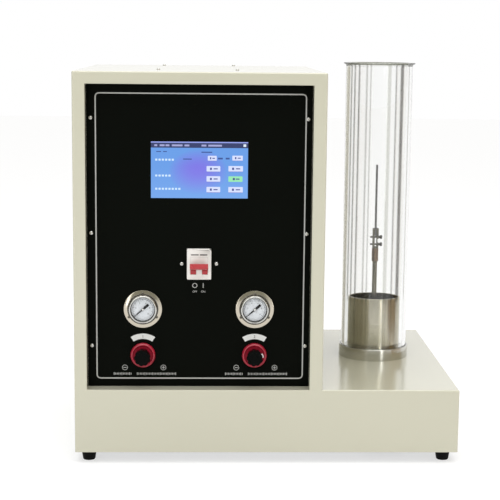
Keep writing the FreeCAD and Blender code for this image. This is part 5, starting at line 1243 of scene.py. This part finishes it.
class TESTER_OT_holder(bpy.types.Operator):
    """Make the specimen holder: tube, bronze socket, clamp, thumbscrews and the grey test bar"""

    bl_idname = "tester.holder"
    bl_label = "Specimen holder"

    def execute(self, context):
        even = (300.0, 300.0, 300.0)
        steel = turned_steel("holder_steel", (0.25, 0.24, 0.19), spot(COLUMN), roughness=0.2)
        bronze = turned_steel("socket_bronze", (0.21, 0.145, 0.095), spot(COLUMN), roughness=0.3)
        clamp = brushed("clamp_dull_steel", (0.145, 0.14, 0.105), 0.32, stretch=even)
        dark = brushed("thumbscrew_blackened", (0.05, 0.048, 0.036), 0.36, stretch=even)
        tube = softened([(3, 126), (4, 126), (4, 272), (3, 272)], 0.25, 3)
        post = turned_piece("post_tube", tube, COLUMN, "up", steel, "specimen_holder", 48)
        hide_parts("holder_tube")
        sleeve = softened([(4.05, 265), (4.7, 265), (5.6, 266.2), (5.6, 272.4), (5.25, 272.9), (5.25, 273.9),
                           (5.6, 274.4), (5.6, SOCKET_TOP), (3.05, SOCKET_TOP), (3.05, 272.2),
                           (4.05, 272.2)],
                          [0.1, 0.3, 0.5, 0.3, 0.2, 0.2, 0.3, 0.5, 0.1, 0.1, 0.1], 4)
        socket = turned_piece("bronze_socket", sleeve, COLUMN, "up", bronze, "specimen_holder", 48)
        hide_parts("holder_socket")
        eased_copy("clamp_body", "clamp_fixed_leaf", clamp, 0.0003)
        eased_copy("clamp_jaw", "clamp_moving_leaf", clamp, 0.0003)
        grey = moulded("test_bar_grey", (0.165, 0.165, 0.165), 0.45, grain=900.0, depth=0.08, variation=0.1)
        eased_copy("specimen", "test_bar", grey, 0.00025)
        surface, faces, uv = self.knurled()
        for name, height in (("upper", 19.4), ("lower", 7.0)):
            place = (COLUMN[0], COLUMN[1], SOCKET_TOP + height)
            screw = new_piece(name + "_knurled_screw", stood(surface, place, "right"), faces, dark,
                              name + "_thumbscrew", uv=uv, crease=50)
            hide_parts(name + "_thumbscrew")
        return {"FINISHED"}

    def knurled(self):
        """A thumbscrew along z: its spun outline, whose radius shrinks by up to a twentieth in 24 hollows,
        0.5 + 0.5 cos(24 a), on the head's rim."""
        turns = 96
        profile = softened([(0, -9), (1.05, -9), (1.45, -8.6), (1.45, 5.4), (2.15, 5.4), (2.15, 8), (3.2, 8),
                            (3.2, 10.9), (2.7, 11.4), (1.4, 11.4), (1.2, 11.0), (0, 11.0)],
                           [0, 0.1, 0.2, 0.1, 0.2, 0.2, 0.3, 0.4, 0.4, 0.2, 0.2, 0], 4, closed=False)
        surface = spun(profile, turns)
        angle = np.linspace(0, 2 * np.pi, turns, endpoint=False)
        rim = np.clip((profile[:, :1] - 2.8) / 0.3, 0, 1)
        surface[..., :2] *= (1 - 0.05 * rim * (0.5 + 0.5 * np.cos(24 * angle))[None])[..., None]
        return surface, *spun_cells(profile, turns, ring=False)


class TESTER_OT_gas_lines(bpy.types.Operator):
    """Make the gas inlets at the rear and finish the gas lines inside"""

    bl_idname = "tester.gas_lines"
    bl_label = "Gas lines"

    def execute(self, context):
        brass = lathe_steel("turned_brass", (0.62, 0.45, 0.20), 0.24, lines=40.0, depth=0.06)
        profile = softened([
            (2.5, -15.5), (6, -15.5), (6, 0), (9, 0), (9, 6), (4, 6), (4, 17), (3.2, 20), (2.5, 20)],
            [0.1, 0.4, 0.1, 0.6, 0.8, 0.3, 0.4, 0.3, 0.2], 4)
        turns = 48
        faces, uv = spun_cells(profile, turns)
        places = [(x, REAR, z) for x, z in REGULATORS.values()]
        points, faces = repeated(stood(spun(profile, turns), (0, 0, 0), "rear"), faces, places)
        uv = np.tile(uv, (len(places), 1))
        tails = new_piece("turned_gas_inlets", points, faces, brass, "cabinet", uv=uv)
        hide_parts("gas_inlets")
        fitting = brushed("fitting_brass", (0.6, 0.44, 0.2), 0.3, stretch=(400.0, 400.0, 400.0))
        repaint(fitting, "inlet_nuts", "gauge_pipes")
        tube = moulded("gas_tube_plastic", (0.45, 0.5, 0.55), 0.3, grain=300.0, depth=0.02, variation=0.04)
        repaint(tube, "supply_tubes", "feed_tubes", "column_feed_tube")
        repaint(brushed("block_steel", (0.58, 0.58, 0.56)), "flow_controllers", "mixing_manifold")
        return {"FINISHED"}


class TESTER_OT_works(bpy.types.Operator):
    """Finish the power inlet, the fan, the sensor and the boards"""

    bl_idname = "tester.works"
    bl_label = "Electrical pieces"

    def execute(self, context):
        black = moulded("inlet_black", (0.02, 0.02, 0.02), 0.4, depth=0.08)
        eased_copy("power_inlet", "power_socket", black, 0.0004)
        repaint(black, "fan_frame", "fan_rotor", "oxygen_sensor")
        board = Recipe("board_green")
        place = board.coordinates()
        tracks = board.noise(place, 220.0, 1.0).above(0.56)
        tone = board.blend(tracks, (0.012, 0.07, 0.03), (0.02, 0.12, 0.05))
        repaint(board.finish(tone, 0.35), "control_board")
        repaint(moulded("nylon_white", (0.6, 0.58, 0.52), 0.5), "board_standoffs")
        return {"FINISHED"}


def plain_mesh(name, points, faces, material):
    """A stage object."""
    mesh = bpy.data.meshes.new(name)
    mesh.from_pydata(points, [], faces)
    mesh.materials.append(material)
    piece = linked(name, mesh)
    return piece


class TESTER_OT_stage(bpy.types.Operator):
    """Set the floor, the card that reflections see, the light round the object, the lamps and the camera"""

    bl_idname = "tester.stage"
    bl_label = "Stage"

    def execute(self, context):
        ground = CAD_BOX[0][2]
        self.floor(ground)
        self.card(ground)
        self.world(context.scene)
        self.lamps()
        self.camera(context.scene)
        context.scene.view_settings.view_transform = "Standard"
        return {"FINISHED"}

    def floor(self, ground):
        """A pale floor, white to the camera, in reflections and through glass, that still takes a shadow."""
        recipe = Recipe("stage_floor")
        bounce = recipe.node("ShaderNodeBsdfDiffuse", None, {"Color": (0.86, 0.86, 0.86, 1.0)})
        shown = recipe.node("ShaderNodeBsdfDiffuse", None, {"Color": (0.5, 0.5, 0.5, 1.0)})
        glow = recipe.node("ShaderNodeEmission", None, {"Color": (1.0, 1.0, 1.0, 1.0), "Strength": 0.55})
        both = recipe.node("ShaderNodeAddShader", None, {0: shown, 1: glow})
        seen = recipe.ray("Is Camera Ray").larger(recipe.ray("Is Glossy Ray"))
        seen = seen.larger(recipe.ray("Is Transmission Ray"))
        recipe.close(recipe.node("ShaderNodeMixShader", None, {0: seen, 1: bounce, 2: both}))
        far = 9.0
        corners = [(-far, -far, ground), (far, -far, ground), (far, far, ground), (-far, far, ground)]
        plain_mesh("stage_floor", corners, [(0, 1, 2, 3)], recipe.material)

    def card(self, ground):
        """A warm brown card to the right, seen only in reflections: it throws no shadow."""
        recipe = Recipe("stage_card")
        brown = recipe.node("ShaderNodeBsdfDiffuse", None, {"Color": (0.36, 0.25, 0.12, 1.0)})
        clear = recipe.node("ShaderNodeBsdfTransparent")
        straight = recipe.ray("Is Transmission Ray") * (1.0 - recipe.ray("Glossy Depth").above(0.5))
        unseen = recipe.ray("Is Camera Ray").larger(straight).larger(recipe.ray("Is Shadow Ray"))
        recipe.close(recipe.node("ShaderNodeMixShader", None, {0: unseen, 1: brown, 2: clear}))
        near, far = (0.93, -0.50), (1.10, 0.14)
        low, high = ground + 0.01, ground + 0.9
        points = [(*near, low), (*far, low), (*far, high), (*near, high)]
        plain_mesh("stage_card", points, [(0, 1, 2, 3)], recipe.material)

    def world(self, scene):
        """White to the camera and through glass. Light and reflections see a studio: white behind the
        object and overhead, a dimmer room in front with two pale strips, darker to the left and warmer to
        the right, by the angle atan2(x, -y) of the direction."""
        white = (1.0, 1.0, 1.0)
        world = bpy.data.worlds.new("studio")
        scene.world = world
        world.use_nodes = True
        studio = Recipe(tree=world.node_tree)
        x, y, z = studio.axes(studio.node("ShaderNodeTexCoord", output="Generated"))
        angle = x.worked("ARCTAN2", x, 0.0 - y) / (2 * math.pi) + 0.5
        stops = [(0.5 + degrees / 360.0, colour) for degrees, colour in ROOM]
        room = studio.node("ShaderNodeValToRGB", {"stops": stops}, {0: angle})
        room = studio.blend(studio.eased(z, 0.35, 0.75, 0.0, 1.0), room, white)
        bounces = studio.ray("Glossy Depth") + studio.ray("Diffuse Depth")
        straight = studio.ray("Is Transmission Ray") * (1.0 - bounces.above(0.5))
        tone = studio.blend(studio.ray("Is Camera Ray").larger(straight), room, white)
        light = studio.node("ShaderNodeBackground", None, {"Color": tone, "Strength": 1.0})
        studio.close(light, "ShaderNodeOutputWorld")

    def lamps(self):
        """A wide soft lamp overhead, a broad one from the left of the camera, and a narrow upright one on
        each side of it that draws a bright line on the steel."""
        for name, place, aim, wide, tall, power in (
            ("lamp_overhead", (0.1, -0.55, 2.4), (0.0, -0.1, 0.3), 2.2, 2.2, 33.0),
            ("lamp_front", (-1.63, -2.25, 1.4), (0.1, 0.0, 0.3), 1.5, 2.4, 11.0),
            ("lamp_strip_right", (0.93, -1.72, 0.56), (0.19, 0.0, 0.2), 0.17, 1.1, 1.8),
            ("lamp_strip_left", (-0.70, -1.66, 0.56), (0.19, 0.0, 0.2), 0.12, 1.1, 1.2),
        ):
            data = bpy.data.lights.new(name, "AREA")
            data.shape = "RECTANGLE"
            data.size = wide
            data.size_y = tall
            data.energy = power
            lamp = linked(name, data)
            lamp.location = place
            lamp.rotation_euler = (Vector(aim) - Vector(place)).to_track_quat("-Z", "Y").to_euler()

    def camera(self, scene):
        """The photograph's view: place, heading to the right, tilt down, roll, and focal length over the
        picture's width, as fitted to the cabinet's edges."""
        place = spot([201.62, -2084.14, 644.31])
        heading = math.radians(1.875)
        tilt = math.radians(8.830)
        roll = math.radians(0.568)
        focal = 1379.67 / 500
        level = Vector((math.cos(heading), -math.sin(heading), 0.0))
        forward = Vector((math.sin(heading) * math.cos(tilt), math.cos(heading) * math.cos(tilt),
                          -math.sin(tilt)))
        upright = level.cross(forward)
        right = level * math.cos(roll) + upright * math.sin(roll)
        up = upright * math.cos(roll) - level * math.sin(roll)
        data = bpy.data.cameras.new("view")
        data.sensor_width = 36.0
        data.lens = focal * data.sensor_width
        data.clip_start = 0.05
        camera = linked("view", data)
        turn = Matrix((right, up, -forward)).transposed()
        camera.matrix_world = Matrix.Translation(Vector(place)) @ turn.to_4x4()
        scene.camera = camera


OPERATORS = (
    TESTER_OT_cabinet, TESTER_OT_panel, TESTER_OT_display, TESTER_OT_breaker, TESTER_OT_gauges,
    TESTER_OT_regulators, TESTER_OT_screws, TESTER_OT_chimney, TESTER_OT_cup, TESTER_OT_holder,
    TESTER_OT_gas_lines, TESTER_OT_works, TESTER_OT_stage,
)


class TESTER_PT_sidebar(bpy.types.Panel):
    """The instrument's pieces and finishes"""

    bl_label = "Oxygen Index Tester"
    bl_idname = "TESTER_PT_sidebar"
    bl_space_type = "VIEW_3D"
    bl_region_type = "UI"
    bl_category = "Tester"

    def draw(self, context):
        layout = self.layout
        for group in (context.scene.tester_finishes, context.scene.tester_details):
            for name in group.__annotations__:
                layout.prop(group, name)
        for operator in OPERATORS:
            layout.operator(operator.bl_idname)


CLASSES = (TESTER_PG_finishes, TESTER_PG_details, *OPERATORS, TESTER_PT_sidebar)


def register():
    """Add the classes and the scene's settings."""
    for entry in CLASSES:
        bpy.utils.register_class(entry)
    bpy.types.Scene.tester_finishes = bpy.props.PointerProperty(type=TESTER_PG_finishes)
    bpy.types.Scene.tester_details = bpy.props.PointerProperty(type=TESTER_PG_details)


def unregister():
    """Take them out again."""
    del bpy.types.Scene.tester_details
    del bpy.types.Scene.tester_finishes
    for entry in reversed(CLASSES):
        bpy.utils.unregister_class(entry)


def main():
    """Add the classes, then make every piece in turn."""
    register()
    for operator in OPERATORS:
        group, name = operator.bl_idname.split(".")
        getattr(getattr(bpy.ops, group), name)()


if __name__ == "__main__":
    main()
